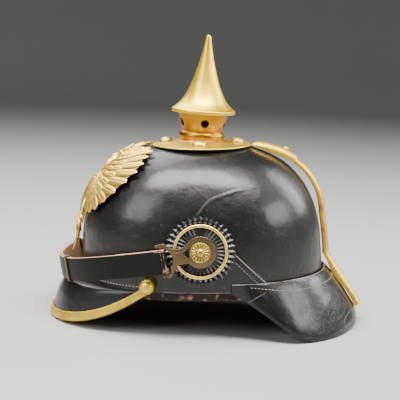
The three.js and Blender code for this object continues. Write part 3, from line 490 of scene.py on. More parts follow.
# The thread is black; its grey, paler in patches, is a painted highlight.
THREAD_WITH_PAINTED_HIGHLIGHT = Finish("waxed_thread_with_painted_highlight", "black_leather", Roughness=0.55, Specular_IOR_Level=0.3)
THREAD_WITH_PAINTED_HIGHLIGHT.put(Base_Color=THREAD_WITH_PAINTED_HIGHLIGHT.mix(THREAD_WITH_PAINTED_HIGHLIGHT.noise(300, 2.0), (0.07, 0.064, 0.055), (0.26, 0.24, 0.21)))

# %% [markdown]
# All the metal is brass, but no two fittings look alike: the spike is pale and polished, the
# neck glows orange, the base is dull, the plate is matt gilt and the strap fittings have gone
# brown. One function makes them all from a clean colour, a tarnish colour and a roughness; the
# tarnish colour also serves as painted shade in hollows and where parts meet.

# %% Brass in its several states


def brass(name, clean, tarnish_and_shade, rough, spread=0.5, brushed=(1, 1, 1), slot="brass"):
    """Brass; tarnish gathers in patches, and wherever the note "deep" is near 1 the same colour is painted shade."""
    f = Finish(name, slot, Metallic=1.0)
    patch, cloud, speck = f.noise(70, 5.0, 0.65), f.noise(22, 2.0), f.noise(1500, 2.0, 0.7)
    brush = f.noise(260, 3.0, 0.6, stretch=brushed)
    hair = f.ease(f.noise(420, 1.0, stretch=(0.06, 1.3, 1.0), turn=(0.4, 0.9, 0.2)), 0.73, 0.78)
    stained = f.ease(patch * 0.6 + cloud * 0.4, 0.42, 0.72) * spread
    # Share of the dark colour: patches and specks of tarnish, and painted shade where the note "deep" is near 1.
    share = (stained + f.note("deep") * 0.85 + f.ease(speck, 0.68, 0.8) * 0.22).at_most(1.0)
    f.put(Base_Color=f.mix(share, clean, tarnish_and_shade), Roughness=rough + share * 0.16 + brush * 0.1 - hair * 0.05)
    f.put(Normal=f.bump(brush * 0.00006 + speck * 0.000012 + patch * 0.00035 - hair * 0.00001, 0.7))
    return f


SPIKE_BRASS = brass("spike_brass", (0.84, 0.55, 0.02), (0.66, 0.37, 0.02), 0.34, 0.4, (1, 1, 0.05))
NECK_BRASS = brass("neck_brass", (0.43, 0.215, 0.008), (0.30, 0.125, 0.005), 0.28, 0.5, (1, 1, 0.2))
BASE_BRASS = brass("base_brass", (0.84, 0.59, 0.085), (0.52, 0.32, 0.04), 0.36, 0.55)
TRIM_BRASS = brass("trim_brass", (0.82, 0.56, 0.07), (0.34, 0.20, 0.022), 0.40, 0.65)
RING_BRASS = brass("ring_brass", (0.93, 0.68, 0.19), (0.42, 0.26, 0.06), 0.27, 0.4)
ROSETTE_BRASS = brass("rosette_brass", (0.60, 0.40, 0.09), (0.07, 0.04, 0.01), 0.28, 0.25)
FITTING_BRASS = brass("fitting_brass", (0.185, 0.130, 0.062), (0.08, 0.055, 0.028), 0.38, 0.7, slot="dark_brass")
GILT_BRASS = brass("gilt_brass", (0.95, 0.62, 0.115), (0.12, 0.06, 0.012), 0.38, 0.42, slot="gilt_brass")

# %% Black lacquer of the pleated cockades


def pleated_lacquer(name):
    """Black lacquer on stamped metal; grey painted highlights lie on its folds where a note is near 1."""
    f = Finish(name, "pleated_black", Coat_Roughness=0.15, Specular_IOR_Level=0.35)
    mottle = f.noise(700, 3.0, 0.6)
    # The grey on the folds, where the note is near 1, is a painted highlight.
    rubbed = f.ease(f.note("ridge") + (mottle - 0.5) * 0.7, 0.5, 0.85)
    f.put(Base_Color=f.mix(rubbed, (0.004, 0.004, 0.005), (0.27, 0.28, 0.31)))
    f.put(Roughness=0.3 + mottle * 0.18, Coat_Weight=0.35 - mottle * 0.3)
    f.put(Normal=f.bump(mottle * 0.00008, 0.8))
    return f


PLEATED_LACQUER = pleated_lacquer("pleated_lacquer")
print("finishes:", len(bpy.data.materials))

# %% [markdown]
# ## The leather body
# The skull is one dome of leather, 2.5 mm thick. Its outer and inner faces are the same
# surface at two offsets, joined by half-round edges at the bottom and at the crown's vent hole.
# Soft dents are added along the normal, with the low edge of a reinforcing flap at the rear.

# %% Skull
SKULL_WALL, SKULL_COLUMNS, OUTER_ROWS, INNER_ROWS = 2.5, 400, 150, 44
FLAP_EDGE = np.array([(28.0, 33.0), (54.5, 7.0)])  # y and height of its two ends
FLAP_WAY = unit(FLAP_EDGE[1] - FLAP_EDGE[0])
CREASE = np.array([
    (80.2, -2.4, 64.8), (77.9, 2.3, 71), (75.3, 7.4, 76.4), (71.1, 21.4, 81.6), (62.2, 43, 86), (48.7, 64.8, 86.6),
])


def beyond_flap(points):
    """Distance from the line of the flap's slanting edge, below 0 on its lower side."""
    y, z = points[..., 1] - FLAP_EDGE[0, 0], points[..., 2] - FLAP_EDGE[0, 1]
    return z * FLAP_WAY[0] - y * FLAP_WAY[1]


def flap_height(points):
    """0.45 mm on the lower side of the flap's slanting edge, fading out under the cockade."""
    low_side = 1 - ease(beyond_flap(points), -0.4, 0.5)
    return 0.45 * low_side * ease(points[..., 1], -5, 20) * (1 - ease(points[..., 2], 36, 56))


def line_distance(points, normals, path):
    """Signed distance to a path on a surface, and how far along the path its nearest point is."""
    best, place = np.full(points.shape[:-1], 100.0), np.zeros(points.shape[:-1])
    for i, (a, b) in enumerate(zip(path[:-1], path[1:])):
        along = b - a
        run = np.clip((points - a) @ along / (along @ along), 0, 1)
        gap = points - (a + run[..., None] * along)
        away = np.linalg.norm(gap, axis=-1)
        side = np.sign(np.einsum("...i,...i", np.cross(along, normals), gap))
        nearer = away < np.abs(best)
        best = np.where(nearer, away * side, best)
        place = np.where(nearer, (i + run) / (len(path) - 1), place)
    return best, place


def skull_face(rows, offset):
    """The skull's surface at an offset, in so many rows, and its normals."""
    angle, place = np.meshgrid(ring(SKULL_COLUMNS), np.linspace(0.002, len(SKULL) - 1.002, rows))
    normals = normal_of(skull_surface, angle + 1e-4, place)
    return skull_surface(angle, place) + normals * offset, normals


outer, normals = skull_face(OUTER_ROWS, 0)
soft = 0.30 * bumps(outer, 34, 3) + 0.13 * bumps(outer, 13, 4) + 0.035 * bumps(outer, 5, 5)
# The crease's distance becomes the note line, which paints shade in its groove and a highlight on its lip.
crease, run = line_distance(outer, normals, CREASE)
shown = (1 - ease(run, 0.55, 1.0) * 0.85) * (1 - ease(np.abs(crease), 5, 8)) * (run > 0) * (run < 1)
fold = 0.28 * bell(crease, 1.2, 1.3) - 0.22 * bell(crease, -0.3, 0.8)
outer = outer + normals * (soft * ease(outer[..., 2], 1, 9) + fold * shown + flap_height(outer))[..., None]
wall = round_wall(outer, skull_face(INNER_ROWS, -SKULL_WALL)[0], 0.5, 0.3)
inside = np.zeros(wall.shape[:-1])
inside[OUTER_ROWS + EDGE_TURNS : -EDGE_TURNS] = 1
make_piece("skull_shell", [(wall, True, True)], SKULL_LEATHER, "skull", sharp=60, line=crease * 1.5, show=shown * 0.7,
           seam=beyond_flap(wall), sewn=ease(outer[..., 1], 26, 29) * ease(-outer[..., 2], -36, -30),
           edge=0.75 * bell(wall[..., 2], -0.2, 0.8), inside=inside)

# %% [markdown]
# Inside the rim sits a leather sweatband. It shows below the skull between the two visors,
# where its edge is rubbed to a pale red brown, so its lower edge is a little ragged.

# %% Sweatband
BAND_TOP, BAND_WIDTH, BAND_OUTSIDE, BAND_INSIDE = 26, 33, 3.0, 4.3


def sweatband_ring(angle, z, inset=0):
    """The skull's outline set in by an amount, at a height."""
    return polar(skull_reach(np.maximum(z, 0), angle, inset), angle, z)


angle, share = np.meshgrid(ring(300), np.linspace(0, 1, 26))
rim = sweatband_ring(angle, 0)
ragged = 0.5 * bumps(rim, 9, 11) + 0.25 * bumps(rim, 3, 12)
height = BAND_TOP - share * (BAND_WIDTH + ragged)
ripple = 0.25 * bumps(sweatband_ring(angle, height), 16, 13) * (height < -1)
faces = [sweatband_ring(angle, height, inset + ripple) for inset in (BAND_OUTSIDE, BAND_INSIDE)]
band = round_wall(*faces, 0.2, 0.3)
make_piece("sweatband_leather", [(band, True, True)], SWEATBAND_LEATHER, "sweatband",
           edge=0.62 * ease(-band[..., 2], 0.2, 2.0))

# %% [markdown]
# A visor is a skirt that leaves the skull along its lower edge. Two tables give it: its free
# edge, by angle, and one profile that says how it turns from level to steep on the way out.
# Both visors are 2.2 mm thick and made like the skull, as two offsets of one surface.

# %% Visors
GAP = 0.3
VISOR_WALL = 2.2
VISOR_COLUMNS = 220
FRONT_RIM = [  # degrees from the front, reach from the middle, height
    (0, 133.2, -33.6), (10, 131.6, -33.6), (20, 126.4, -32.2), (30, 117.0, -28.8),
    (40, 106.5, -22.2), (50, 97.4, -12.8), (57, 92.0, -5.0), (61, 89.2, -0.9),
]
FRONT_PROFILE = [(0, 0), (0.32, 0.015), (0.57, 0.09), (0.75, 0.32), (0.88, 0.64), (1, 1)]  # shares out and down
REAR_RIM = [  # degrees from the rear, reach from the middle, height
    (0, 141.0, -37.5), (9, 139.2, -40.8), (18, 134.8, -43.6), (31, 128.5, -44.8), (43.8, 119.9, -39.6),
    (50, 112.9, -31.6), (57.5, 102.2, -18.6), (66, 92.2, -6.8), (73, 88.4, -0.4),
]
REAR_PROFILE = [(0, 0), (0.11, 0.06), (0.28, 0.2), (0.6, 0.49), (0.82, 0.72), (0.95, 0.88), (1, 1)]
FRONT_END, REAR_END = math.radians(57), math.radians(73)
WELT_HEIGHT = 7.2
SCRATCHES = [np.array(path, float) for path in (
    [(84.5, 40, -7.5), (84, 47, -3.5), (81, 54, 0)],
    [(52, 97, 1.5), (44, 105, -2), (36, 113, -6.5), (27, 124, -16.5), (22, 132, -27)],
    [(58.5, 96, -5.5), (55.5, 100, -7.5), (49, 107, -9.5)],
    [(19, 135, -30), (26, 132, -30), (37, 127, -32), (43, 125, -35), (45, 125, -39)],
)]


def visor(rim, profile, top, stand_off, angle, direction, across):
    """From the skull at a height out to the rim: reach and height each blend by the profile."""
    _, rim_reach, rim_z = split(look_up(rim, np.degrees(np.abs(angle))))
    out, down = split(smooth(profile, across * (len(profile) - 1)))
    start = skull_reach(max(top, 0), direction) + stand_off
    return polar(start + (rim_reach - start) * out, direction, top + (rim_z - top) * down)


def front_visor(angle, across):
    """From the skull's lower edge, with the angle counted from the front."""
    return visor(FRONT_RIM, FRONT_PROFILE, -GAP, 0, angle, angle, across)


def rear_visor(angle, across):
    """From the top of the welt that laps over the skull, with the angle counted from the rear."""
    return visor(REAR_RIM, REAR_PROFILE, WELT_HEIGHT, GAP + VISOR_WALL, angle, np.pi - angle, across)


def visor_faces(surface, end, across, outwards, waves):
    """Outer and inner faces over the visor's whole angle, with soft waves on the outer one."""
    angle, share = np.meshgrid(np.linspace(-end, end, VISOR_COLUMNS), across)
    normals = normal_of(surface, angle, share, outwards)
    face = surface(angle, share)
    soft = waves * (bumps(face, 26, 21) + 0.4 * bumps(face, 9, 22)) * np.sin(np.pi * share)
    return face + normals * soft[..., None], face - normals * VISOR_WALL


def keep_off_skull(points, gap=GAP):
    """Moves points that would lie inside the skull's outline out to a small distance from it."""
    x, y, z = split(points)
    angle = np.arctan2(x, -y)
    least = skull_reach(np.clip(z, 0, 100), angle) + gap
    return np.where(((z > -GAP) & (np.hypot(x, y) < least))[..., None], polar(least, angle, z), points)


face, back = visor_faces(front_visor, FRONT_END, np.linspace(0.001, 0.999, 60), -1, 0.28)
angle = np.linspace(-FRONT_END, FRONT_END, VISOR_COLUMNS)
lip = polar(skull_reach(0, angle) - SKULL_WALL, angle, -GAP)[None]
wall = round_wall(np.concatenate([lip, face]), np.concatenate([lip - (0, 0, VISOR_WALL), back]), 0.1, 0.5)
make_piece("front_visor_leather", with_caps(wall), FRONT_LEATHER, "front_visor", sharp=60)

face, back = visor_faces(rear_visor, REAR_END, np.linspace(0.004, 0.999, 80), 1, 0.32)
wall = round_wall(face, keep_off_skull(back, GAP / 2), 0.2, 0.7)
# The scratches' notes paint shade in their grooves and a highlight on their lips.
line, show = np.full(wall.shape[:-1], 50.0), 0
for path in SCRATCHES:
    away, run = line_distance(wall, unit(wall), path)
    line = np.where(np.abs(away) < np.abs(line), away, line)
    show = np.maximum(show, (np.abs(away) < 4) * (run > 0) * (run < 1))
rubbed = np.zeros(wall.shape[:-1])
rubbed[:2] = rubbed[-EDGE_TURNS - 1 :] = 1.0
make_piece("rear_visor_leather", with_caps(wall), REAR_LEATHER, "rear_visor", sharp=60,
           line=line * 2.4, show=show[: len(face)] * 1.6, edge=rubbed)

# %% [markdown]
# The seams are sewn with thick waxed thread. Each stitch is a small bead drawn out along its
# seam and half sunk in the leather. One function makes a whole row of them at once.

# %% Stitches


def beads(centres, along, out, length, width, height):
    """Closed beads: cos(u) along the seam, sin(u)^0.7 round it, as a stack of equal grids."""
    u = np.linspace(0, math.pi, 9)[None, :, None, None]
    v = ring(8)[None, None, :, None]
    axes = (centres, unit(along), unit(out), unit(np.cross(along, out)))
    centres, ahead, up, across = (w[:, None, None, :] for w in axes)
    girth = np.sin(u) ** 0.7
    return (centres + ahead * np.cos(u) * length / 2 + up * girth * np.cos(v) * height
            + across * girth * np.sin(v) * width / 2)


def sew(name, path, normals, pitch=3.0, size=(2.3, 0.95, 0.45)):
    """Stitches at a steady pitch along a finely drawn path; no two are turned quite alike."""
    run = path_run(path)
    marks = np.arange(pitch / 2, run[-1], pitch)

    def at(values, where):
        return join(*(np.interp(where, run, column) for column in values.T))

    points, out = at(path, marks), unit(at(normals, marks))
    along = unit(at(path, marks + 0.2) - at(path, marks - 0.2))
    jitter = bumps(points * 7, 3, 31)
    along = along + 0.14 * np.cross(along, out) * jitter[:, None]
    length = (size[0] + 0.3 * jitter)[:, None, None, None]
    make_piece(name, [(beads(points, along, out, length, *size[1:]), False, True)], THREAD_WITH_PAINTED_HIGHLIGHT)


def on_skull(angles, heights):
    """Points and normals of the skull at given heights."""
    place = place_of(SKULL, 0, heights)
    normals = normal_of(skull_surface, angles, place)
    points = skull_surface(angles, place)
    return points + normals * flap_height(points)[..., None], normals


turn = np.radians(np.linspace(-57, 57, 300))
sew("front_visor_stitches", *on_skull(turn, 3.4 + 0 * turn), 3.3, (2.5, 1.3, 0.6))
turn = np.radians(np.linspace(-64, 64, 400))
welt_place = place_of(REAR_PROFILE, 1, 0.165) / (len(REAR_PROFILE) - 1)
sew("rear_visor_stitches", rear_visor(turn, welt_place), normal_of(rear_visor, turn, welt_place))
flap = np.linspace(0.02, 0.98, 120)[:, None] * (FLAP_EDGE[1] - FLAP_EDGE[0]) + FLAP_EDGE[0] + (-1.9, -4.6)
turn = np.arctan2(82.0, -flap[:, 0])
for _ in range(3):
    turn = np.arctan2(on_skull(turn, flap[:, 1])[0][:, 0], -flap[:, 0])
points, normals = on_skull(turn, flap[:, 1])
for side, label in SIDES:
    sew(f"flap_stitches_{label}", points * (side, 1, 1), normals * (side, 1, 1), 3.1, (2.2, 0.75, 0.3))

# %% [markdown]
# ## Brass
# Round pieces are turned from an outline. Outlines are short lists of corners, softened by
# replacing each corner V, with A and B on its two edges, by the curve (1-t)^2 A + 2t(1-t) V + t^2 B.

# %% Outlines and turned pieces


def bow(a, middle, b, t):
    """Points on the curve (1-t)^2 A + 2t(1-t) M + t^2 B."""
    return (1 - t) ** 2 * np.asarray(a) + 2 * t * (1 - t) * np.asarray(middle) + t**2 * np.asarray(b)


def soften(corners, reach, turns=5):
    """Rounds the corners of a closed outline by a reach, or by at most 45 % of the shorter edge."""
    p = np.asarray(corners, float)

    def edge_point(other):
        way = other - p
        length = np.linalg.norm(way, axis=1, keepdims=True)
        return (p + way * np.minimum(reach, 0.45 * length) / np.maximum(length, 1e-9))[:, None]

    t = np.linspace(0, 1, turns)[None, :, None]
    return bow(edge_point(np.roll(p, 1, 0)), p[:, None], edge_point(np.roll(p, -1, 0)), t).reshape(-1, 2)


def turned_grid(outline, columns=96):
    """Rows (radius, height) turned round the z axis."""
    radius, z = split(outline)
    return polar(radius[:, None], ring(columns)[None], z[:, None])


def turn_x(points, degrees):
    """Turns points about the x axis."""
    x, y, z = split(points)
    return join(x, *swing(y, z, math.radians(degrees)))


# %% [markdown]
# The brass trim is a strip folded round the edge of the front visor. Its section is carried
# along that edge, with one axis pointing beyond the edge and the other off the leather's face.
# A dent in its lower edge on the left shows where it was once dropped.

# %% Visor trim and its end balls
TRIM_END, TRIM_EDGE = math.radians(61), 0.998  # its last angle, and its place across the visor
TRIM_OUTSIDE = [
    (-6.6, 0.35), (-6.5, 1.1), (-5.6, 1.75), (-3.2, 1.95), (-0.6, 1.85), (1.1, 1.1), (1.8, -1.2), (1.2, -3.2),
    (-0.4, -4.0),
]
SLOT = -VISOR_WALL - GAP
TRIM_INSIDE = [(-6.6, GAP), (-4.5, GAP), (-2, GAP), (GAP, GAP), (GAP, -1.1), (GAP, SLOT)]
angle = np.linspace(-TRIM_END, TRIM_END, 260)
edge = front_visor(angle, TRIM_EDGE)
beyond = unit(edge - front_visor(angle, 0.9))
off = normal_of(front_visor, angle, TRIM_EDGE, -1)
inner_leg = np.clip(-edge[:, 2] - 3.2, 0.5, 4.5)
knock = 0.7 * bell(np.degrees(angle), 17, 1.6)[:, None]


def trim_face(section, last):
    """A section (beyond the edge, off the face) along the edge, with the inner leg's foot last."""
    rows = np.asarray(section)[:, None] * np.ones((len(angle), 1))
    rows = np.concatenate([rows, join(-inner_leg, last)[None]])
    dented = rows[..., :1] - knock * ease(rows[..., :1], -1, 1.5)
    return keep_off_skull(edge + beyond * dented + off * rows[..., 1:]), rows[..., 1] > 0


outer, on_face = trim_face(smooth_through(TRIM_OUTSIDE, 34), -4.0)
outer = outer + off * (0.10 * bumps(outer, 7, 41) * on_face)[..., None]
trim = np.concatenate([outer, trim_face(TRIM_INSIDE, SLOT)[0][::-1]])
fans = [(np.stack([trim[:, c], trim[:, c] * 0 + trim[:, c].mean(0)]), False, True) for c in (0, -1)]
# The note "deep" paints shade on the trim's foot, where its outer leg ends on the leather.
make_piece("visor_trim_brass", [(trim, True, False), *fans], TRIM_BRASS, "visor_trim",
           deep=np.full((3, len(angle)), 0.7))

BALL_RADIUS, BALL_ANGLE, BALL_HEIGHT, BALL_OFF = 6.6, math.radians(62.2), 5.2, 4.6
lean = np.linspace(-1.57079, 1.57079, 33)
ball = turned_grid(BALL_RADIUS * join(np.cos(lean), np.sin(lean)), 56)
placed = ball + polar(skull_reach(BALL_HEIGHT, BALL_ANGLE) + BALL_OFF, BALL_ANGLE, BALL_HEIGHT)
placed = keep_off_skull(placed + unit(ball) * 0.06 * bumps(placed, 4, 44)[..., None])
for side, label in SIDES:
    make_piece(f"trim_ball_brass_{label}", [(placed * (side, 1, 1), False, True)], TRIM_BRASS, f"trim_ball_{label}")

# %% [markdown]
# The spike stands on a shallow brass disc held by four domed studs. The neck has five round
# vents, and everything above the disc's boss leans 4.1 degrees to the rear.

# %% Base disc and studs
SPIKE_AXIS_Y, SPIKE_LEAN = 1.3, 4.1
BASE_RADIUS, BASE_RIM_Z, BASE_RISE, BASE_WALL = 43.3, 113.3, 3.6, 1.5
BOSS_RADIUS, BOSS_TOP = 18.8, 119.2
STUD_RADIUS, STUD_HEIGHT, STUD_REACH, STUD_TURN = 6.0, 4.5, 31.2, math.radians(-4.0)
DISC_COLUMNS, STUD_COLUMNS = 160, 48


def disc_under(radius):
    """Height of the disc's lower face."""
    return BASE_RIM_Z + BASE_RISE * (1 - (radius / BASE_RADIUS) ** 2)


def on_axis(points):
    """From the spike's own axis to the helmet's frame."""
    return points + (0, SPIKE_AXIS_Y, 0)


def leaning(points):
    """From the leaning frame on top of the boss to the helmet's frame."""
    return on_axis(turn_x(points, -SPIKE_LEAN) + (0, 0, BOSS_TOP))


below, above = np.linspace(CROWN_HOLE, BASE_RADIUS - 0.5, 12), np.linspace(BASE_RADIUS - 1.0, BOSS_RADIUS + 0.9, 16)
outline = soften([
    *join(below, disc_under(below)),
    (BASE_RADIUS + 0.1, BASE_RIM_Z + 0.35), (BASE_RADIUS + 0.05, BASE_RIM_Z + 1.45),
    *join(above, disc_under(above) + BASE_WALL),
    (BOSS_RADIUS, BOSS_TOP - 1.1), (BOSS_RADIUS - 0.1, BOSS_TOP), (CROWN_HOLE, BOSS_TOP),
], 0.55)
disc = turned_grid(outline, DISC_COLUMNS)
disc[..., 2] += 0.10 * bumps(disc * (1, 1, 0.2), 11, 51)
# Painted shade in the corner at the foot of the boss, through the note "deep".
make_piece("base_disc_brass", [(on_axis(disc), True, True)], BASE_BRASS, "spike_base",
           deep=0.8 * bell(outline[:, :1], BOSS_RADIUS + 1.0, 0.7) * np.ones(DISC_COLUMNS))

lean = np.linspace(0, 1.45, 13)[1:]
stud_dome = join(STUD_RADIUS * np.cos(lean) ** 0.9, STUD_HEIGHT * np.sin(lean))
stud = turned_grid([(0, 0), (STUD_RADIUS * 0.96, 0), (STUD_RADIUS, 0.25), *stud_dome, (0, STUD_HEIGHT)], STUD_COLUMNS)
stud = turn_x(stud, math.degrees(math.atan(2 * BASE_RISE * STUD_REACH / BASE_RADIUS**2)))
x, y, z = split(stud + (0, -STUD_REACH, disc_under(STUD_REACH) + BASE_WALL - 0.1))
for quarter, name in enumerate(("front", "left", "rear", "right")):
    placed = join(*swing(x, y, quarter * math.pi / 2 + STUD_TURN), z)
    # Painted shade at each stud's foot, where it meets the disc, through the note "deep".
    make_piece(f"disc_stud_{name}", [(on_axis(placed), False, True)], BASE_BRASS, f"base_stud_{name}",
               deep=np.full((3, STUD_COLUMNS), 0.9))

# %% [markdown]
# The neck is turned below and above its vents. Between them it is made of five patches, one
# round each vent: the grid runs from the patch's rectangle to the round hole, through the wall
# and back to the rectangle inside, so hole and wall are one closed surface.

# %% Neck
NECK = [  # height above the boss, radius
    (-2, 18.0), (-0.6, 18.6), (0.6, 19.4), (2.2, 19.9), (3.8, 19.9), (5.4, 19.3), (6.6, 18.3), (7.2, 17.6),
    (7.8, 17.7), (10, 18.3), (15, 20.0), (20, 21.3), (22.7, 21.9),
]
NECK_WALL = 2.2
VENT_RADIUS, VENT_COUNT, VENT_Z, VENT_TURN = 3.5, 5, 14.5, math.radians(95.4)
PATCH_LOW, PATCH_HIGH, PATCH_STEPS = 9.4, 19.6, 18


def neck_wall(angle, z, turned_edge=()):
    """The neck's outer rows, an edge if there is one, and its inner rows backwards."""
    radius = look_up(NECK, z)[..., 1]
    outer, inner = polar(radius, angle, z), polar(radius - NECK_WALL, angle, z)
    rim = [(outer[-1:] * share + inner[-1:]) / (share + 1) for share in turned_edge]
    return leaning(np.concatenate([outer, *rim, inner[::-1]]))


s = np.linspace(-1, 1, PATCH_STEPS + 1)[:-1]
square = np.concatenate([join(s, -1), join(1, s), join(-s, 1), join(-1, -s)])
half_turn = math.pi / VENT_COUNT
rectangle = square * (half_turn, (PATCH_HIGH - PATCH_LOW) / 2) + (0, (PATCH_HIGH + PATCH_LOW) / 2)
way = np.arctan2(square[:, 1], square[:, 0])
hole = join(np.arcsin(VENT_RADIUS * np.cos(way) / look_up(NECK, VENT_Z)[1]), VENT_Z + VENT_RADIUS * np.sin(way))
share = np.array([0, 0.15, 0.35, 0.6, 0.82, 0.93, 0.985, 1.0])[:, None, None]
spread = rectangle + (hole - rectangle) * share
turns = VENT_TURN + 2 * half_turn * np.arange(VENT_COUNT)
patches = [neck_wall(spread[..., 0] + turn, spread[..., 1], (3,)) for turn in turns]
turns = VENT_TURN - half_turn + ring(VENT_COUNT * PATCH_STEPS)[None]
low, high = np.linspace(PATCH_LOW, NECK[0][0], 40)[:, None], np.linspace(PATCH_HIGH, NECK[-1][0], 8)[:, None]
grids = [neck_wall(turns, low + 0 * turns), neck_wall(turns, high + 0 * turns), *patches]
# Painted shade in the groove of the neck's waist, through the note "deep".
make_piece("neck_brass", [(grid, False, True) for grid in grids], NECK_BRASS, "spike_neck",
           deep=bell(np.concatenate([low, low[::-1]]), 7.5, 0.7) * np.ones_like(turns))

# %% Spike
SPIKE = [  # height above its rim, radius
    (0, 27.6), (2.6, 27.9), (4.6, 25.4), (9, 20.9), (15, 16.9), (24, 12.9),
    (36, 8.9), (48, 5.7), (59, 3.4), (65.2, 2.3), (67.2, 1.3), (67.7, 0.0),
]
SPIKE_INSIDE = [(17.0, 0.0), (17.0, 1.8), (20.0, 4.2), (15.5, 10.0), (11.0, 22.0), (6.0, 38.0), (0.0, 52.0)]
SPIKE_RIM_Z = 23.0
fine = smooth(SPIKE, np.concatenate([np.linspace(0, 4, 34), np.linspace(4, 11, 60)[1:]]))
fine[:, 1] = np.maximum(fine[:, 1], 0)
spike = turned_grid(np.concatenate([smooth_through(SPIKE_INSIDE, 40)[::-1], fine[:, ::-1]]), 128)
x, y, z = split(spike)
reach = np.hypot(x, y)
bands = 0.05 * np.sin(11 * np.arctan2(x, -y) + 1.3) * ease(z, 6, 14) * np.minimum(1, reach / 8)
spike = spike * (1 + (bands / np.maximum(reach, 0.5))[..., None] * (1, 1, 0))
make_piece("spike_turned_brass", [(leaning(spike + (0, 0, SPIKE_RIM_Z)), False, True)], SPIKE_BRASS, "spike")

# %% [markdown]
# The rear spine is an arched brass band. It follows an arc over the back of the skull and then
# runs down to the rear visor. Near its top a slider can be pushed down to open a small vent.

# %% Rear spine, cap, slider and knob
SPINE_Y, SPINE_Z = 50.0, 51.8
SPINE_UNDER, SPINE_HEIGHT, SPINE_HALF = 56.4, 5.0, 6.0
SPINE_FROM, SPINE_TO, SPINE_KNOTS = 79, 2, 24  # degrees on the arc, and its stations
SPINE_LEGS = [(108.6, 37.2), (110.2, 22.0), (111.2, 14.2), (121.4, -1.5), (140.9, -30.6)]  # y, height
SPINE_VENT, SPINE_VENT_RADIUS, SPINE_VENT_DEPTH = 76.2, 2.5, 4.0
SPINE_CAP = [  # degrees on the arc, radius below and above, half width
    (94.4, 60.9, 62.0, 2.6), (93, 60.7, 63.5, 4.7), (90, 60.1, 64.5, 6.2), (86, 59.0, 64.8, 7.1),
    (81, 57.4, 64.6, 7.4),
]
SLIDER_TOP, SLIDER_BOTTOM, SLIDER_OVER, SLIDER_OVER_LOW, SLIDER_HALF = 80.6, 55.0, 64.4, 63.2, 7.4
SLIDER_GAP = 0.5
KNOB_ANGLE, KNOB_RADIUS, KNOB_HEIGHT = 66, 2.3, 2.2


def arc_out(degrees):
    a = np.radians(degrees)
    return join(0.0, np.cos(a), np.sin(a))


def arc_point(radius, degrees):
    """A point of the spine's arc, in the middle plane."""
    return (0, SPINE_Y, SPINE_Z) + np.asarray(radius)[..., None] * arc_out(degrees)


def arch_rows(feet, out, half_width, height):
    """Rows across an arch, columns along its feet: x = w cos(t)^0.8, h = H (0.16 + 0.84 sin(t)^0.9)."""
    t = np.linspace(0, np.pi, 26)
    x = np.concatenate([[1], np.sign(np.cos(t)) * np.abs(np.cos(t)) ** 0.8, [-1]])[:, None]
    h = np.concatenate([[0], 0.16 + 0.84 * np.abs(np.sin(t)) ** 0.9, [0]])[:, None]
    return feet + out * (h * height)[..., None] + (x * half_width)[..., None] * (1, 0, 0)


def arc_band(degrees, under, over, half_width):
    """An arched band on the arc: its feet's radius, crest's radius and half width by station."""
    return arch_rows(arc_point(under, degrees), arc_out(degrees), half_width, over - under)


arc = arc_point(SPINE_UNDER, np.linspace(SPINE_FROM, SPINE_TO, SPINE_KNOTS))
knots = np.concatenate([arc, [(0, y, z) for y, z in SPINE_LEGS]])
bend = SPINE_KNOTS - 1
feet = smooth(knots, np.concatenate([np.linspace(0, bend, 260), np.linspace(bend, len(knots) - 1, 90)[1:]]))
along = unit(np.gradient(feet, axis=0))
out = join(0, -along[:, 2], along[:, 1])
down = np.clip((WELT_HEIGHT - feet[:, 2]) / (WELT_HEIGHT - REAR_RIM[0][2]), 0, 1)
drop = np.sum((feet - rear_visor(0.0, down)) * out, -1) - 0.4
drop = np.clip(drop, 0, 3.5) * ease(-feet[:, 2], -10, 2)
low = feet - out * drop[:, None]
outer, inner = arch_rows(low, out, SPINE_HALF, SPINE_HEIGHT + drop), arch_rows(low, out, SPINE_HALF - 0.8, 0.0)
outer = outer + (outer - feet) * (0.02 * bumps(outer, 9, 61))[..., None]
from_vent = np.linalg.norm((outer - arc_point(SPINE_UNDER + SPINE_HEIGHT, SPINE_VENT))[..., :2], axis=-1)
pit = 1 - ease(from_vent, SPINE_VENT_RADIUS - 0.25, SPINE_VENT_RADIUS + 0.25)
pit = pit * (outer[..., 2] > SPINE_Z + 30)
outer = outer - out * (pit * SPINE_VENT_DEPTH)[..., None]
# Painted shade through the note "deep": in the vent pit, along the band's feet and on its inner face.
deep = np.maximum(pit, 0.6 * (np.abs(outer[..., 0]) > SPINE_HALF * 0.93))
make_piece("spine_brass", with_caps(np.concatenate([outer, inner[::-1]])), TRIM_BRASS, "rear_spine",
           deep=np.concatenate([deep, np.ones(inner.shape[:-1])]))

degrees, under, over, half = smooth_through(SPINE_CAP, 40).T
inner = arc_band(degrees, under, under, half - 0.4)
cap = np.concatenate([arc_band(degrees, under, over, half), inner[::-1]])
make_piece("spine_cap_brass", with_caps(cap), TRIM_BRASS, "spine_cap")

share = np.linspace(0, 1, 60)
degrees = SLIDER_TOP + (SLIDER_BOTTOM - SLIDER_TOP) * share
ends = 1 - 0.10 * np.maximum(1 - share / 0.04, 0) ** 2 - 0.10 * np.maximum(1 - (1 - share) / 0.04, 0) ** 2
under = SPINE_UNDER + 0.3
over = under + (SLIDER_OVER + (SLIDER_OVER_LOW - SLIDER_OVER) * share - under) * ends
outer = arc_band(degrees, under, over, SLIDER_HALF - 0.3 * (1 - ends))
inner = arc_band(degrees, under, SPINE_UNDER + SPINE_HEIGHT + SLIDER_GAP, SPINE_HALF + SLIDER_GAP)
make_piece("slider_brass", with_caps(round_wall(outer, inner, 0.0, 0.0)), TRIM_BRASS, "vent_slider", body="vent")
knob_seat = np.interp(-KNOB_ANGLE, (-SLIDER_TOP, -SLIDER_BOTTOM), (SLIDER_OVER, SLIDER_OVER_LOW))
lean = np.linspace(-0.5, 1.5, 14)
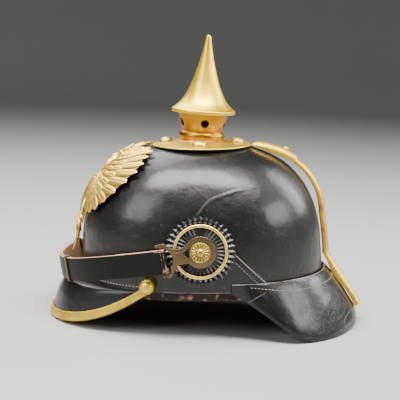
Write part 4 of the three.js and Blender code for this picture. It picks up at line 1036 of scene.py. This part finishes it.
head = join(KNOB_RADIUS * np.cos(lean), 0.5 + (KNOB_HEIGHT - 0.5) * np.sin(lean))
knob = turned_grid([(0, -1.2), (1.3, -1.2), (1.3, 0.2), *head, (0, KNOB_HEIGHT)], 36)
knob = turn_x(knob, KNOB_ANGLE - 90) + arc_point(knob_seat, KNOB_ANGLE)
make_piece("slider_knob_brass", [(knob, False, True)], TRIM_BRASS, "vent_knob", body="vent")

# %% [markdown]
# ## Cockades and strap fittings
# On both sides sits a pleated, black lacquered disc with a pale brass ring, a forked fitting
# for the chin strap and a rosette. All are laid out flat as (back, up, out) and then leaned.

# %% Cockades
COCKADE_Y, COCKADE_Z, COCKADE_LEAN = 0.2, 35.6, math.radians(4.6)
COCKADE_OUT = look_up(SKULL, COCKADE_Z)[3] + 0.5
TEETH, TOOTH_RADIUS, NOTCH_RADIUS, PLEAT_WALL = 36, 29.0, 26.2, 2.0
RING_RADIUS, RING_TUBE, RING_SQUASH = 21.3, 1.4, 0.9
SHANK_RADIUS = 2.4
EYE_RADIUS, EYE_WALL = 13.0, 1.5
RING_FROM = PLEAT_WALL + GAP
EYE_FROM = RING_FROM + 2 * RING_TUBE * RING_SQUASH + GAP
ROSETTE_FROM = EYE_FROM + EYE_WALL + GAP


def on_cockade(points, side):
    """(back, up, out) of a cockade to the helmet's frame, on the left (1) or the right (-1)."""
    back, up, out = split(points)
    out, up = swing(out, up, COCKADE_LEAN)
    return join(side * (COCKADE_OUT + out), COCKADE_Y + back, COCKADE_Z + up)


def flat_polar(radius, angle, height):
    return join(radius * np.cos(angle), radius * np.sin(angle), height)


angle = ring(TEETH * 12)[None]
tooth = np.abs((angle * TEETH / (2 * np.pi)) % 1 * 2 - 1)  # 1 on a fold's crest, 0 in its valley
share = np.linspace(0, 1, 52)[:, None]
edge = NOTCH_RADIUS + (TOOTH_RADIUS - NOTCH_RADIUS) * tooth**1.3
radius = SHANK_RADIUS + GAP + (edge - SHANK_RADIUS - GAP) * share
growth = ease(radius, 5, 22)
front = 1.75 - 0.95 * growth * (1 - tooth) + 0.35 * growth * (tooth - 0.5)
front = front + 0.75 * ease(radius, 23.1, 25.0) * (0.25 + 0.75 * tooth) - 0.9 * ease(radius, 25.5, 29.5)
faces = [flat_polar(radius, angle, height) for height in (front, np.maximum(front - 0.8, 0.02))]
pleats = round_wall(*faces, 0.05, 0.12)
# Painted highlights on the folds: glints outside the ring, light outlines of the teeth and spokes on the crests
# inside it.
glint = 0.95 * bell(radius, 24.0, 0.7) * ease(tooth, 0.25, 0.55)
outline = 0.7 * (1 - ease(edge - radius, 0.12, 0.4)) * ease(radius, 25.2, 26.4)
spoke_highlights = 0.5 * ease(tooth, 0.9, 0.98) * ease(radius, 13, 15) * (1 - ease(radius, 19.2, 19.8))
for side, label in SIDES:
    make_piece(f"pleated_disc_{label}", [(on_cockade(pleats, side), True, True)], PLEATED_LACQUER, f"cockade_{label}",
               sharp=35, ridge=np.maximum(np.maximum(glint, outline), spoke_highlights))

# %% Rings and rosettes
PETALS = 16
ROSETTE = [  # radius, height over its seat
    (0.0, 4.6), (1.2, 4.45), (2.4, 3.9), (3.1, 3.2), (3.4, 2.55), (4.6, 2.35), (6.3, 2.25), (7.1, 1.9), (7.5, 1.85),
    (7.75, 2.25), (8.1, 2.3), (8.4, 1.7), (8.4, 0.8), (8.0, 0.1), (6.0, 0.0), (SHANK_RADIUS, 0.0),
]
way = ring(28)[:, None]
bulge = np.sign(np.sin(way)) * np.abs(np.sin(way)) ** 0.8
height = RING_FROM + RING_TUBE * RING_SQUASH * (1 + bulge)
tube = flat_polar(RING_RADIUS + RING_TUBE * np.cos(way), ring(144)[None], height)
rows = smooth_through(ROSETTE, 92)
rows[:, 0] = np.maximum(rows[:, 0], 0)
rows = np.concatenate([rows, [(SHANK_RADIUS, -ROSETTE_FROM), (0, -ROSETTE_FROM)]])
radius, height = rows[:, :1], rows[:, 1:]
angle = ring(PETALS * 10)[None]
petal = np.abs(np.sin(angle * PETALS / 2)) ** 0.85
on_face = height > 1.4
petal_zone = ease(radius, 3.2, 4.0) * (1 - ease(radius, 7.0, 7.4)) * on_face
rosette = flat_polar(radius, angle, height + ROSETTE_FROM - 0.75 * (1 - petal) * petal_zone)
# Painted shade in the petal grooves and the groove round the boss, through the note "deep" and the rosette's
# near-black dark colour.
deep = np.clip(1.35 - 1.35 * petal, 0.25, 1) * petal_zone + 0.8 * bell(radius, 3.35, 0.3) * on_face
for side, label in SIDES:
    make_piece(f"cockade_ring_brass_{label}", [(on_cockade(tube, side), True, True)], RING_BRASS,
               f"cockade_ring_{label}")
    make_piece(f"rosette_brass_{label}", [(on_cockade(rosette, side), False, True)], ROSETTE_BRASS,
               f"rosette_{label}", deep=deep)

# %% [markdown]
# The forked fitting is cut from plate: a round eye, a waist, and two prongs that hold the bar
# the strap is folded round. Its outline is drawn once and given thickness with soft edges.

# %% Forked fittings
EYE_EDGE = 0.35
BAR_HEAD, BAR_FOOT, BAR_RADIUS = (-32.4, 4.6), (-27.4, -18.8), 0.7
BAR_LEVEL = EYE_FROM + EYE_WALL / 2
corner = EYE_RADIUS * math.sqrt(0.5)
PRONGS = [  # straight runs of (back, up), and bows of three such points
    ((-corner, corner), (-13.5, 3.4), (-17.5, 3.0)), [(-22.5, 2.8)], ((-22.5, 2.8), (-26, 4.4), (-29.4, 7.2)),
    [(-36.8, 5.6), (-36.6, 3.4), (-30.6, 3.7)], ((-30.6, 3.7), (-24, 1.2), (-21.8, -5.5)),
    ((-21.8, -5.5), (-21.4, -8.6), (-24, -11.8)),
    [(-23.4, -17.6), (-30.4, -18.2), (-30.2, -21), (-23.4, -20.8), (-20.6, -15.6), (-18.2, -10.4)],
    ((-18.2, -10.4), (-12, -9.2), (-corner, -corner)),
]
t = np.linspace(0, 1, 8)[1:, None]
eye_arc = np.radians(np.linspace(-135, 135, 60))[1:]
EYE_OUTLINE = np.concatenate([bow(*run, t) if isinstance(run, tuple) else run for run in PRONGS]
                             + [EYE_RADIUS * join(np.cos(eye_arc), np.sin(eye_arc))])
EYE_OPENING = soften([(-9, 3.8), (-14.8, -1.2), (-9, -5.2)], 0.9)
SHANK_HOLE = (SHANK_RADIUS + GAP) * join(np.cos(ring(24)), np.sin(ring(24)))


def cut_plate(outlines, wall, edge):
    """A flat plate's mesh from outlines: the first its rim, the others its holes."""
    curve = bpy.data.curves.new("plate_outline", "CURVE")
    curve.dimensions, curve.fill_mode = "2D", "BOTH"
    curve.extrude, curve.bevel_depth, curve.bevel_resolution, curve.offset = wall / 2 - edge, edge, 2, -edge
    for outline in outlines:
        line = curve.splines.new("POLY")
        line.points.add(len(outline) - 1)
        line.points.foreach_set("co", np.pad(outline, ((0, 0), (0, 2))).astype(np.float32).ravel())
        line.use_cyclic_u = True
    holder = bpy.data.objects.new("plate_outline", curve)
    bpy.context.scene.collection.objects.link(holder)
    mesh = bpy.data.meshes.new_from_object(holder.evaluated_get(bpy.context.evaluated_depsgraph_get()))
    bpy.data.objects.remove(holder)
    bpy.data.curves.remove(curve)
    return mesh


for side, label in SIDES:
    fitting = cut_plate([EYE_OUTLINE, EYE_OPENING, SHANK_HOLE], EYE_WALL, EYE_EDGE)
    points = np.empty(len(fitting.vertices) * 3, np.float32)
    fitting.vertices.foreach_get("co", points)
    points = to_rest(on_cockade(points.reshape(-1, 3) + (0, 0, BAR_LEVEL), side))
    fitting.vertices.foreach_set("co", points.astype(np.float32).ravel())
    fitting.update()
    finish_piece(f"strap_fitting_{label}", fitting, FITTING_BRASS, f"strap_eye_{label}")
    head, foot = (on_cockade((*p, BAR_LEVEL), side) for p in (BAR_HEAD, BAR_FOOT))
    axis = unit(head - foot)
    across = unit(np.cross(axis, (1, 0, 0)))
    turn = ring(20)[None, :, None]
    round_bar = (across * np.cos(turn) + np.cross(axis, across) * np.sin(turn)) * BAR_RADIUS
    bar = foot + (head - foot) * np.linspace(0, 1, 6)[:, None, None] + round_bar
    bar = np.concatenate([foot + 0 * bar[:1], bar, head + 0 * bar[:1]])
    make_piece(f"strap_bar_{label}", [(bar, False, True)], FITTING_BRASS)

# %% [markdown]
# ## Chin strap
# The strap is two lengths of leather that overlap across the front and slide in two brass
# frames. Each runs from its lapped end to the bar of its fitting, round the bar, and a short way
# back inside. Up across the strap leans a little, as it hangs on the skull.

# %% Route of the strap
STRAP_WALL, STRAP_WIDTH = 1.7, 20.0
STRAP_SIDE, STRAP_FRONT = 96.4, 123.8
STRAP_COURSE = [  # y, height of its middle, degrees that its upper edge leans outwards
    (-124, 8.4, 8.5), (-108, 12.2, 6), (-83, 18.4, 1), (-60, 23.4, -2), (-40, 26.4, -4), (-20, 29.0, -4.6),
]
STRAP_END, STRAP_RETURN, STRAP_LAP = (math.radians(a) for a in (74.5, 20, 27))  # from the front
RUN_STATIONS, FOLD_STATIONS, RETURN_STATIONS = 150, 16, 40
GRIP_Y, LAYER_GAP = -7.6, 0.4
LAYER = STRAP_WALL + GAP
BAR_TURN = BAR_RADIUS + GAP + STRAP_WALL / 2


def strap_route(angle, inset):
    """The strap's middle before it nears the bar."""
    y = -(STRAP_FRONT - inset) * np.cos(angle)
    return join((STRAP_SIDE - inset) * np.sin(angle), y, look_up(STRAP_COURSE, y)[..., 1])


def bar_frame(side):
    """The bar where the strap grips it: its middle, and the directions up, out and back."""
    head, foot = (on_cockade((*p, BAR_LEVEL), side) for p in (BAR_HEAD, BAR_FOOT))
    share = (BAR_HEAD[1] - GRIP_Y) / (BAR_HEAD[1] - BAR_FOOT[1])
    up = unit(head - foot)
    out = unit(np.array([side, 0, 0]) - up * side * up[0])
    return head + (foot - head) * share, up, out, unit(np.cross(up, out)) * side


def strap_frame(angle, inset):
    """Middle, up and out of the strap; near the bar they pass over into those of the bar."""
    middle = strap_route(angle, inset)
    along = unit(strap_route(angle + 1e-3, inset) - middle)
    level = unit(join(-along[:, 1], along[:, 0], 0))
    level = level * np.sign(np.sum(level * middle, -1, keepdims=True))
    lean = np.radians(look_up(STRAP_COURSE, middle[:, 1])[:, 2:])
    upright = unit(np.cross(along, level))
    up = upright * np.sign(upright[:, 2:]) * np.cos(lean) + level * np.sin(lean)
    side = np.sign(angle[-1])
    bar_middle, bar_up, bar_out, _ = bar_frame(side)
    near = ease(angle * side, STRAP_END - math.radians(24), STRAP_END)[:, None]
    middle = middle + (bar_middle + bar_out * BAR_TURN - middle) * near
    up = unit(up + (bar_up - up) * near)
    out = unit(level - up * np.sum(level * up, -1, keepdims=True))
    return middle, up, unit(out + (bar_out - out) * near)


def strap_centre(side, inset):
    """Middle, up and out along the whole strap."""
    run = strap_frame(side * np.linspace(-STRAP_LAP, STRAP_END, RUN_STATIONS), inset)
    bar_middle, bar_up, bar_out, bar_back = bar_frame(side)
    turn = np.linspace(0, np.pi, FOLD_STATIONS + 2)[1:-1, None]
    normal = bar_out * np.cos(turn) + bar_back * np.sin(turn)
    share = np.linspace(0, 1, RETURN_STATIONS)
    middle, up, out = strap_frame(side * (STRAP_END - STRAP_RETURN * share), inset)
    inwards = 2 * BAR_TURN + (STRAP_WALL + LAYER_GAP - 2 * BAR_TURN) * ease(share, 0, 0.7)
    fold = (bar_middle + normal * BAR_TURN, bar_up + 0 * normal, normal)
    back = (middle - out * inwards[:, None], up, -out)
    return [np.concatenate(part) for part in zip(run, fold, back)]


# %% Straps
across = np.linspace(-1, 1, 21)[:, None, None]
flat_across = across[..., 0]
for side, label in SIDES:
    middle, up, out = strap_centre(side, 0 if side > 0 else LAYER)
    run = path_run(middle)
    from_fold = run - run[RUN_STATIONS + FOLD_STATIONS // 2 - 1]
    away = np.abs(from_fold)[:, None]
    wave = (0.16 * bumps(middle, 15, 71) + 0.10 * bumps(middle, 6, 72))[:, None] * ease(away, 2, 14)
    sag = 0.35 * (bumps(middle + (0, 0, 40), 22, 73) - 0.4)[:, None] * ease(away, 3, 20)
    reach = across * (STRAP_WIDTH / 2 - 0.25) + np.where(across > 0, sag * across**2, 0)
    cup = 0.22 * (across**2 - 0.4) * ease(away, 2, 12)
    half = STRAP_WALL / 2 - 0.10 * np.abs(across) ** 8
    faces = [middle + up * reach + out * (wave + off) for off in (half - cup, -half - cup)]
    strap = round_wall(*faces, 0.28, 0.28)
    face = np.zeros(len(strap))
    face[0] = face[-EDGE_TURNS:] = 0.85
    face[1:20], face[20] = 1, 0.45
    top_wear = 0.95 * bell(from_fold, -4.5, 7.5) * ease(flat_across, 0.62, 0.98)
    low_wear = bell(from_fold, -1.0, 4.2) * ease(-flat_across, 0.25, 0.8)
    lines = 0.75 * (bell(from_fold, -3.6, 0.35) + bell(from_fold, -1.9, 0.35))
    make_piece(f"chin_strap_leather_{label}", with_caps(strap), STRAP_LEATHER, f"chin_strap_{label}", sharp=70,
               face=face[:, None] * np.ones(len(middle)), worn=np.maximum(np.maximum(top_wear, low_wear), lines))

# %% Sliding frames on the strap
SLIDE_ANGLE, SLIDE_WALL, SLIDE_LENGTH, SLIDE_TURNS = math.radians(24), 1.2, 3.0, 7
deep, tall = (LAYER + STRAP_WALL + 2 * GAP + SLIDE_WALL) / 2, (STRAP_WIDTH + 2 * GAP + SLIDE_WALL) / 2
loop = soften([(deep, -tall), (deep, tall), (-deep, tall), (-deep, -tall)], 1.2, SLIDE_TURNS)
straight = np.linspace(0, 1, 8)[1:-1, None]
first, second, third, fourth = np.split(loop, 4)
loop = np.concatenate([first, first[-1] + (second[0] - first[-1]) * straight, second,
                       third, third[-1] + (fourth[0] - third[-1]) * straight, fourth])
ahead = unit(np.roll(loop, -1, 0) - np.roll(loop, 1, 0))
half, reach = SLIDE_WALL / 2, SLIDE_LENGTH / 2
band = soften([(-half, -reach), (half, -reach), (half, reach), (-half, reach)], 0.45)
flat = loop + join(ahead[:, 1], -ahead[:, 0]) * band[:, None, :1]
for side, label in SIDES:
    middle, up, out = (v[0] for v in strap_frame(np.array([side * SLIDE_ANGLE]), LAYER / 2))
    points = middle + flat[..., :1] * out + flat[..., 1:] * up + band[:, None, 1:] * np.cross(out, up)
    make_piece(f"strap_frame_{label}", [(points, True, True)], FITTING_BRASS, f"strap_slide_{label}")

# %% [markdown]
# ## The eagle
# The plate is a plain heraldic eagle in embossed gilt brass: head turned aside under an open
# crown, wings raised, tail spread. It is laid out flat, x sideways and s up along the front of
# the skull, and then wrapped over the skull at its own small distance.

# %% From the flat layout to the front of the skull
PLATE_FOOT, PLATE_HEAD = 18.0, 113.0  # heights on the skull
PLATE_STAND = [  # height, distance off the skull
    (19, 6.2), (26, 4.4), (34, 3.2), (44, 2.6), (57, 2.3), (84, 2.5), (92, 2.9), (104, 2.9), (112, 2.2),
]
TOP_COLUMNS, BACK_COLUMNS = 15, 5  # across a raised form's face and across its back
levels = np.linspace(PLATE_FOOT, PLATE_HEAD, 400)
climb = path_run(join(look_up(SKULL, levels)[:, 1], levels))


def over_front(x, s, off):
    """y = -front (1 - (|x|/side)^p)^(1/p), moved out along the skull's normal."""
    x, s = np.broadcast_arrays(x, s)
    z = np.interp(s, climb, levels)
    _, front, _, side = split(look_up(SKULL, z))
    y = -front * np.clip(1 - (np.abs(x) / side) ** OVAL_POWER, 0.02, 1) ** (1 / OVAL_POWER)
    normals = normal_of(skull_surface, np.arctan2(x, -y), place_of(SKULL, 0, z))
    stand = look_up(PLATE_STAND, z)[..., 1] + 1.6 * (x / 52) ** 2
    return join(x, y, z) + normals * (stand + off)[..., None]


def relief(path, half, low, crest, quill=0.0, barbs=0.0, power=0.5):
    """Closed raised forms along flat paths (n, columns, 2), as grids with the note "deep".
    Across them v runs from -1 to 1 and the top is low + crest (1 - v^2)^power, less a quill
    groove exp(-(v/0.12)^2) and slanting barbs sin(2.4 t + 5 |v|)."""
    half, low, crest = (np.atleast_2d(v)[:, None] for v in (half, low, crest))
    ahead = unit(np.gradient(path, axis=1))
    aside = join(-ahead[..., 1], ahead[..., 0])
    v = np.concatenate([np.linspace(-1, 1, TOP_COLUMNS), np.linspace(1, -1, BACK_COLUMNS)[1:-1]])
    top = (np.arange(len(v)) < TOP_COLUMNS)[None, :, None]
    v = v[None, :, None]
    flat = path[:, None] + aside[:, None] * (half * v)[..., None]
    groove, round_top = bell(v, 0, 0.12), np.clip(1 - v**2, 0, 1) ** power
    slant = barbs * np.sin(2.4 * path_run(path)[:, None] + 5 * np.abs(v))
    height = low + np.where(top, (crest - quill * groove + slant) * round_top, 0)
    # The note "deep" paints shade in the quill groove, along the forms' edges and on their backs.
    deep = np.where(top, np.maximum(groove * (quill > 0) * 0.55, ease(np.abs(v), 0.8, 1.0) * 0.75), 1.0)
    points = over_front(flat[..., 0], flat[..., 1], height)
    return points, np.broadcast_to(deep, points.shape[:-1])


def bent_paths(starts, ends, bend, columns):
    """Paths from starts to ends with a sideways bend of 4 t (1 - t)."""
    starts, way = np.array(starts)[:, None], (np.array(ends) - starts)[:, None]
    t = np.linspace(0, 1, columns)[:, None]
    aside = join(-way[..., 1], way[..., 0]) * np.reshape(bend, (-1, 1, 1))
    return starts + way * t + aside * 4 * t * (1 - t)


def feathers(roots, tips, widths, bend, low, rise, crest, columns=26):
    """Leaf shapes: half width = w (0.45 + 0.55 t) (1 - t^6)^0.5, closed at both ends."""
    widths, low, rise = (np.reshape(v, (-1, 1)) for v in (widths, low, rise))
    t = np.linspace(0, 1, columns)[None]
    half = widths * (0.45 + 0.55 * t) * ease(t, 0, 0.07) * dome(t, 6)
    crest = crest * dome(t, 12) * ease(t, 0, 0.05)
    return relief(bent_paths(roots, tips, bend, columns), half, low + rise * t, crest, quill=0.35, barbs=0.07)


def mirrored_piece(name, forms, stands_for=None):
    """A gilt piece of raised forms and their mirror images."""
    grids = [(np.concatenate([points, points * (-1, 1, 1)]), True, False) for points, _ in forms]
    make_piece(name, grids, GILT_BRASS, stands_for, deep=[np.concatenate([deep, deep]) for _, deep in forms])


# %% Wings
FEATHER_TIPS = np.array([
    (24, 117), (33, 112), (41, 101.5), (47, 92), (51.5, 82), (53.3, 71.5), (52.5, 61), (49.5, 52.5),
    (44.5, 45), (38, 41), (31, 39.5), (24.5, 42), (18.5, 47),
])
FEATHER_ROOTS = np.array([
    (14, 92), (15, 88), (17, 84), (18.5, 80), (19.5, 76), (20, 72), (19.5, 68.5), (18.5, 66),
    (17, 64), (15.5, 62.5), (14, 61.5), (12.5, 61), (11, 60.5),
])
WING_ARM = [(6, 72), (8.5, 80), (12.5, 88), (15.5, 97), (16.5, 106), (19, 111), (23, 112.5)]
order = np.linspace(0, 1, len(FEATHER_TIPS))
long = feathers(FEATHER_ROOTS, FEATHER_TIPS, 5.6 - 1.5 * order, -0.06 + 0.14 * order, 0.6 + 0.25 * order, 0.3, 1.2)
tips = FEATHER_ROOTS + (FEATHER_TIPS - FEATHER_ROOTS) * 0.62
tips, roots = (tips[1:] + tips[:-1]) / 2, (FEATHER_ROOTS[1:] + FEATHER_ROOTS[:-1]) / 2 + (-1.5, 1.5)
coverts = feathers(roots, tips, 4.2, 0.02, 1.6, 0.1, 1.1, 20)
small = feathers(roots + (-1, 1), roots + (tips - roots) * 0.58, 3.3, 0.0, 2.6, 0.0, 1.0, 16)
t = np.linspace(-1, 1, 40)
arm = relief(smooth_through(WING_ARM, 40)[None], 3.2 * dome(t, 6), 0.6, 2.6 * dome(t, 8))
turn = np.linspace(0, 1, 30)
radius, angle = 4.5 - 2.8 * turn, 5.2 * turn + 0.6
curl_path = (13, 70) + radius[:, None] * join(np.sin(angle), np.cos(angle))
t = np.linspace(-1, 1, 30)
curl = relief(curl_path[None], 1.2 * dome(t, 6), 2.4, 1.5 * dome(t, 8))
mirrored_piece("eagle_wings", [long, coverts, small, arm, curl], "front_plate")

# %% Sheet behind the feathers
SHEET = [  # s, half width
    (38, 8), (41, 18), (44, 34), (48, 42), (55, 48), (66, 50.5), (77, 50), (88, 46.5), (97, 41), (106, 34),
    (111, 27), (114, 20),
]
SHEET_FOOT, SHEET_HEAD = 38.2, 113.8
up = np.linspace(SHEET_FOOT, SHEET_HEAD, 60)[:, None]
sideways = np.linspace(-1, 1, 70) * look_up(SHEET, up)[..., 1]
sheet = round_wall(over_front(sideways, up, 0.55), over_front(sideways, up, -0.3), 0.1, 0.1)
# The whole sheet is painted darker through the note "deep", as the shade behind the feathers.
make_piece("eagle_sheet", with_caps(sheet), GILT_BRASS, deep=np.full(sheet.shape[:-1], 0.75))

# %% Body, head and crown
EAGLE_NECK = [(0, 70), (0.8, 77), (0.4, 83), (-0.8, 88), (-3.4, 91), (-6.5, 91.4), (-9.0, 89.6), (-9.7, 86.6)]
CROWN_BAND = [(-7.2, 98.6), (-4.2, 97.2), (-1.0, 96.8), (2.2, 97.2), (5.2, 98.6)]
CROWN_TIPS = np.array([(-9.5, 104.5), (-5.6, 107.6), (-1.2, 108.8), (3.2, 107.6), (7.1, 104.5)])
way, share = ring(72)[None], np.linspace(0, 1, 44)[:, None]
disc_x, disc_s = share * np.cos(way), share * np.sin(way)


def button(x, s, top, foot):
    """A round form laid out from its middle: its face, and its back turned the other way."""
    return np.concatenate([over_front(x, s, top), over_front(x[..., ::-1, :], s[..., ::-1, :], foot)], -3)


body_x, body_s = 11.5 * disc_x * (1 + 0.12 * np.sin(way)), 58 + 25 * disc_s
ruffle = (-body_s / 3.4 + 0.5 * np.abs(np.sin(np.pi * body_x / 3.8))) % 1
body = button(body_x, body_s, 0.4 + 4.4 * dome(share) + 0.5 * ruffle * (1 - share**6), 0.0)
# Painted shade under the breast's ruffled steps and on the body's back, through the note "deep".
body_painted_shade = np.concatenate([0.9 * (1 - ease(ruffle, 0.0, 0.3)), 1 + 0 * ruffle])

t = np.linspace(0, 1, 48)
neck_half = np.interp(t, [0, 0.25, 0.5, 0.68, 0.76, 0.9, 1], [7.0, 5.2, 4.6, 5.0, 3.0, 1.8, 0.0])
neck_crest = np.interp(t, [0, 0.25, 0.5, 0.66, 0.76, 0.9, 1], [3.0, 3.4, 4.0, 4.4, 3.0, 1.8, 0.0])
neck_crest = neck_crest * ease(t, 0, 0.03) + 0.35 * np.sin(26 * t) * ease(0.62 - t, 0, 0.05)
neck_path, neck_half = smooth_through(EAGLE_NECK, 48)[None], neck_half * ease(t, 0, 0.03)
neck, neck_painted_shade = relief(neck_path, neck_half, 1.0, neck_crest, power=0.6)
eye_top = 4.6 + 0.8 * dome(share) - 2 * (share > 0.98)
eye = button(-3.6 + 0.9 * disc_x, 92.0 + 0.9 * disc_s, eye_top, 2.5)[::4, ::6]
t = np.linspace(0, 1, 16)
tongue = bent_paths([(-5.5, 88.5)], [(-10.5, 85.5)], 0.1, 16)
tongue = relief(tongue, 0.9 * dome(t, 4) * ease(t, 0, 0.1), 2.0, 1.2 * dome(t, 6))
crown_x, crown_s = CROWN_TIPS.T
spikes = feathers(join(crown_x * 0.45 - 0.6, 97.5), CROWN_TIPS, 1.5, 0.0, 2.2, 0.4, 1.6, 18)
closed_ends = dome(np.linspace(-1, 1, 24), 8)
band = relief(smooth_through(CROWN_BAND, 24)[None], 1.5 * closed_ends, 2.4, 2.6 * closed_ends)
pearls = button(crown_x[:, None, None] + 1.25 * disc_x, crown_s[:, None, None] + 1.25 * disc_s,
                2.4 + 2.4 * dome(share), 2.2)[:, ::4, ::4]
forms = [(neck, neck_painted_shade * 0.8), tongue, spikes, band]
grids = [(body, False, True), *((points, True, False) for points, _ in forms)]
grids += [(pearls, False, True), (eye, False, True)]
make_piece("eagle_body", grids, GILT_BRASS, deep=[body_painted_shade, *(deep for _, deep in forms)])

# %% Legs and tail
TAIL_TIPS = [(0, 0.5), (4.6, 1.0), (9.0, 3.4), (12.6, 8.5), (14.2, 15.0)]
TAIL_ROOTS = [(0, 36), (0.8, 35), (1.8, 34), (2.8, 33.5), (3.6, 34)]
tail = feathers(TAIL_ROOTS, TAIL_TIPS, [2.9, 2.7, 2.6, 2.5, 2.3], [0, -0.03, -0.06, -0.1, -0.14],
                [1.7, 1.3, 0.9, 0.5, 0.1], 1.0, 0.9, 24)
thighs = feathers([(6, 54), (4.5, 52)], [(14.5, 37), (11, 36)], 4.4, [-0.08, -0.05], 0.8, 0.4, 2.2, 24)
shank = bent_paths([(13.0, 38.5)], [(17.5, 31.5)], -0.1, 16)
ends = closed_ends[np.linspace(0, 23, 16).astype(int)]
shank = relief(shank, (1.9 - 0.5 * np.linspace(0, 1, 16)) * ends, 1.4, 1.8 * ends)
claws = feathers([(17, 33.5)] * 4, [(26.5, 34.0), (24.5, 26.5), (17, 22.0), (10.5, 27.0)], 1.9,
                 [0.2, 0.2, 0.15, -0.2], 2.0, -0.2, 2.6, 18)
mirrored_piece("eagle_legs_and_tail", [tail, thighs, shank, claws])

# %% [markdown]
# ## Floor, light and camera
# The floor is plain and pale and bends up far out, so that no horizon shows. One broad soft
# light hangs above on the camera's side, with four weaker ones around. The camera stands on the
# helmet's left, a little above its middle.

# %% Floor and light
FLOOR_RADIUS, FLOOR_BEND, FLOOR_SIDES = 2.6, 1.6, 96
LIGHTS = [  # name, place, height of the spot it faces, width and length, power, colour
    ("main_light", (0.36, -0.04, 1.16), 0.12, (1.5, 0.38), 60, (1.0, 0.985, 0.96)),
    ("front_light", (0.80, -1.15, 0.80), 0.12, (0.7, 0.7), 13, (1, 1, 1)),
    ("rear_light", (0.45, 1.25, 0.62), 0.12, (0.7, 0.5), 13, (1, 1, 1)),
    ("edge_light", (-0.45, 1.20, 0.85), 0.15, (0.5, 0.9), 20, (1, 1, 1)),
    ("far_light", (-0.62, -0.50, 1.10), 0.15, (0.8, 1.0), 20, (1, 1, 1)),
]

bend = np.linspace(0, math.pi / 2, 17)
reach = np.concatenate([[0.01], FLOOR_RADIUS + FLOOR_BEND * np.sin(bend)])[:, None]
height = np.concatenate([[0.0], FLOOR_BEND * (1 - np.cos(bend))])[:, None]
points = flat_polar(reach, ring(FLOOR_SIDES), height)
at = np.arange(len(reach) * FLOOR_SIDES).reshape(1, -1, FLOOR_SIDES)
faces = grid_quads(at, False, True)[:, ::-1]
mesh = bpy.data.meshes.new("floor")
mesh.from_pydata(points.reshape(-1, 3).tolist(), [], [at[0, 0].tolist(), *faces.tolist()])
mesh.shade_smooth()
mesh.materials.append(Finish("pale_floor", Base_Color=(0.34, 0.34, 0.34), Roughness=0.85).material)
floor = bpy.data.objects.new("floor", mesh)
bpy.context.scene.collection.objects.link(floor)

for name, place, target, size, power, colour in LIGHTS:
    lamp = bpy.data.lights.new(name, "AREA")
    lamp.shape, lamp.energy, lamp.color = "RECTANGLE", power, colour
    lamp.size, lamp.size_y = size
    light = bpy.data.objects.new(name, lamp)
    light.location = place
    light.rotation_euler = (Vector((0, 0, target)) - Vector(place)).to_track_quat("-Z", "Y").to_euler()
    bpy.context.scene.collection.objects.link(light)
world = bpy.data.worlds.new("dim_room")
world.use_nodes = True
background = world.node_tree.nodes["Background"].inputs
background["Color"].default_value, background["Strength"].default_value = (0.80, 0.82, 0.85, 1), 0.035
bpy.context.scene.world = world

# %% Camera
CAMERA_PLACE, CAMERA_PITCH = (920.0, 0.0, 211.7), math.radians(9.1)
SENSOR, LENS = 36.0, 94.23  # mm
lens = bpy.data.cameras.new("camera")
lens.sensor_width, lens.lens = SENSOR, LENS
camera = bpy.data.objects.new("camera", lens)
right, back = Vector((0, 1, 0)), Vector((math.cos(CAMERA_PITCH), 0, math.sin(CAMERA_PITCH)))
turn = Matrix.Rotation(REST_TILT, 3, "X") @ Matrix((right, back.cross(right), back)).transposed()
camera.matrix_world = Matrix.LocRotScale(Vector(to_rest(CAMERA_PLACE)), turn.to_quaternion(), None)
bpy.context.scene.collection.objects.link(camera)
bpy.context.scene.camera = camera
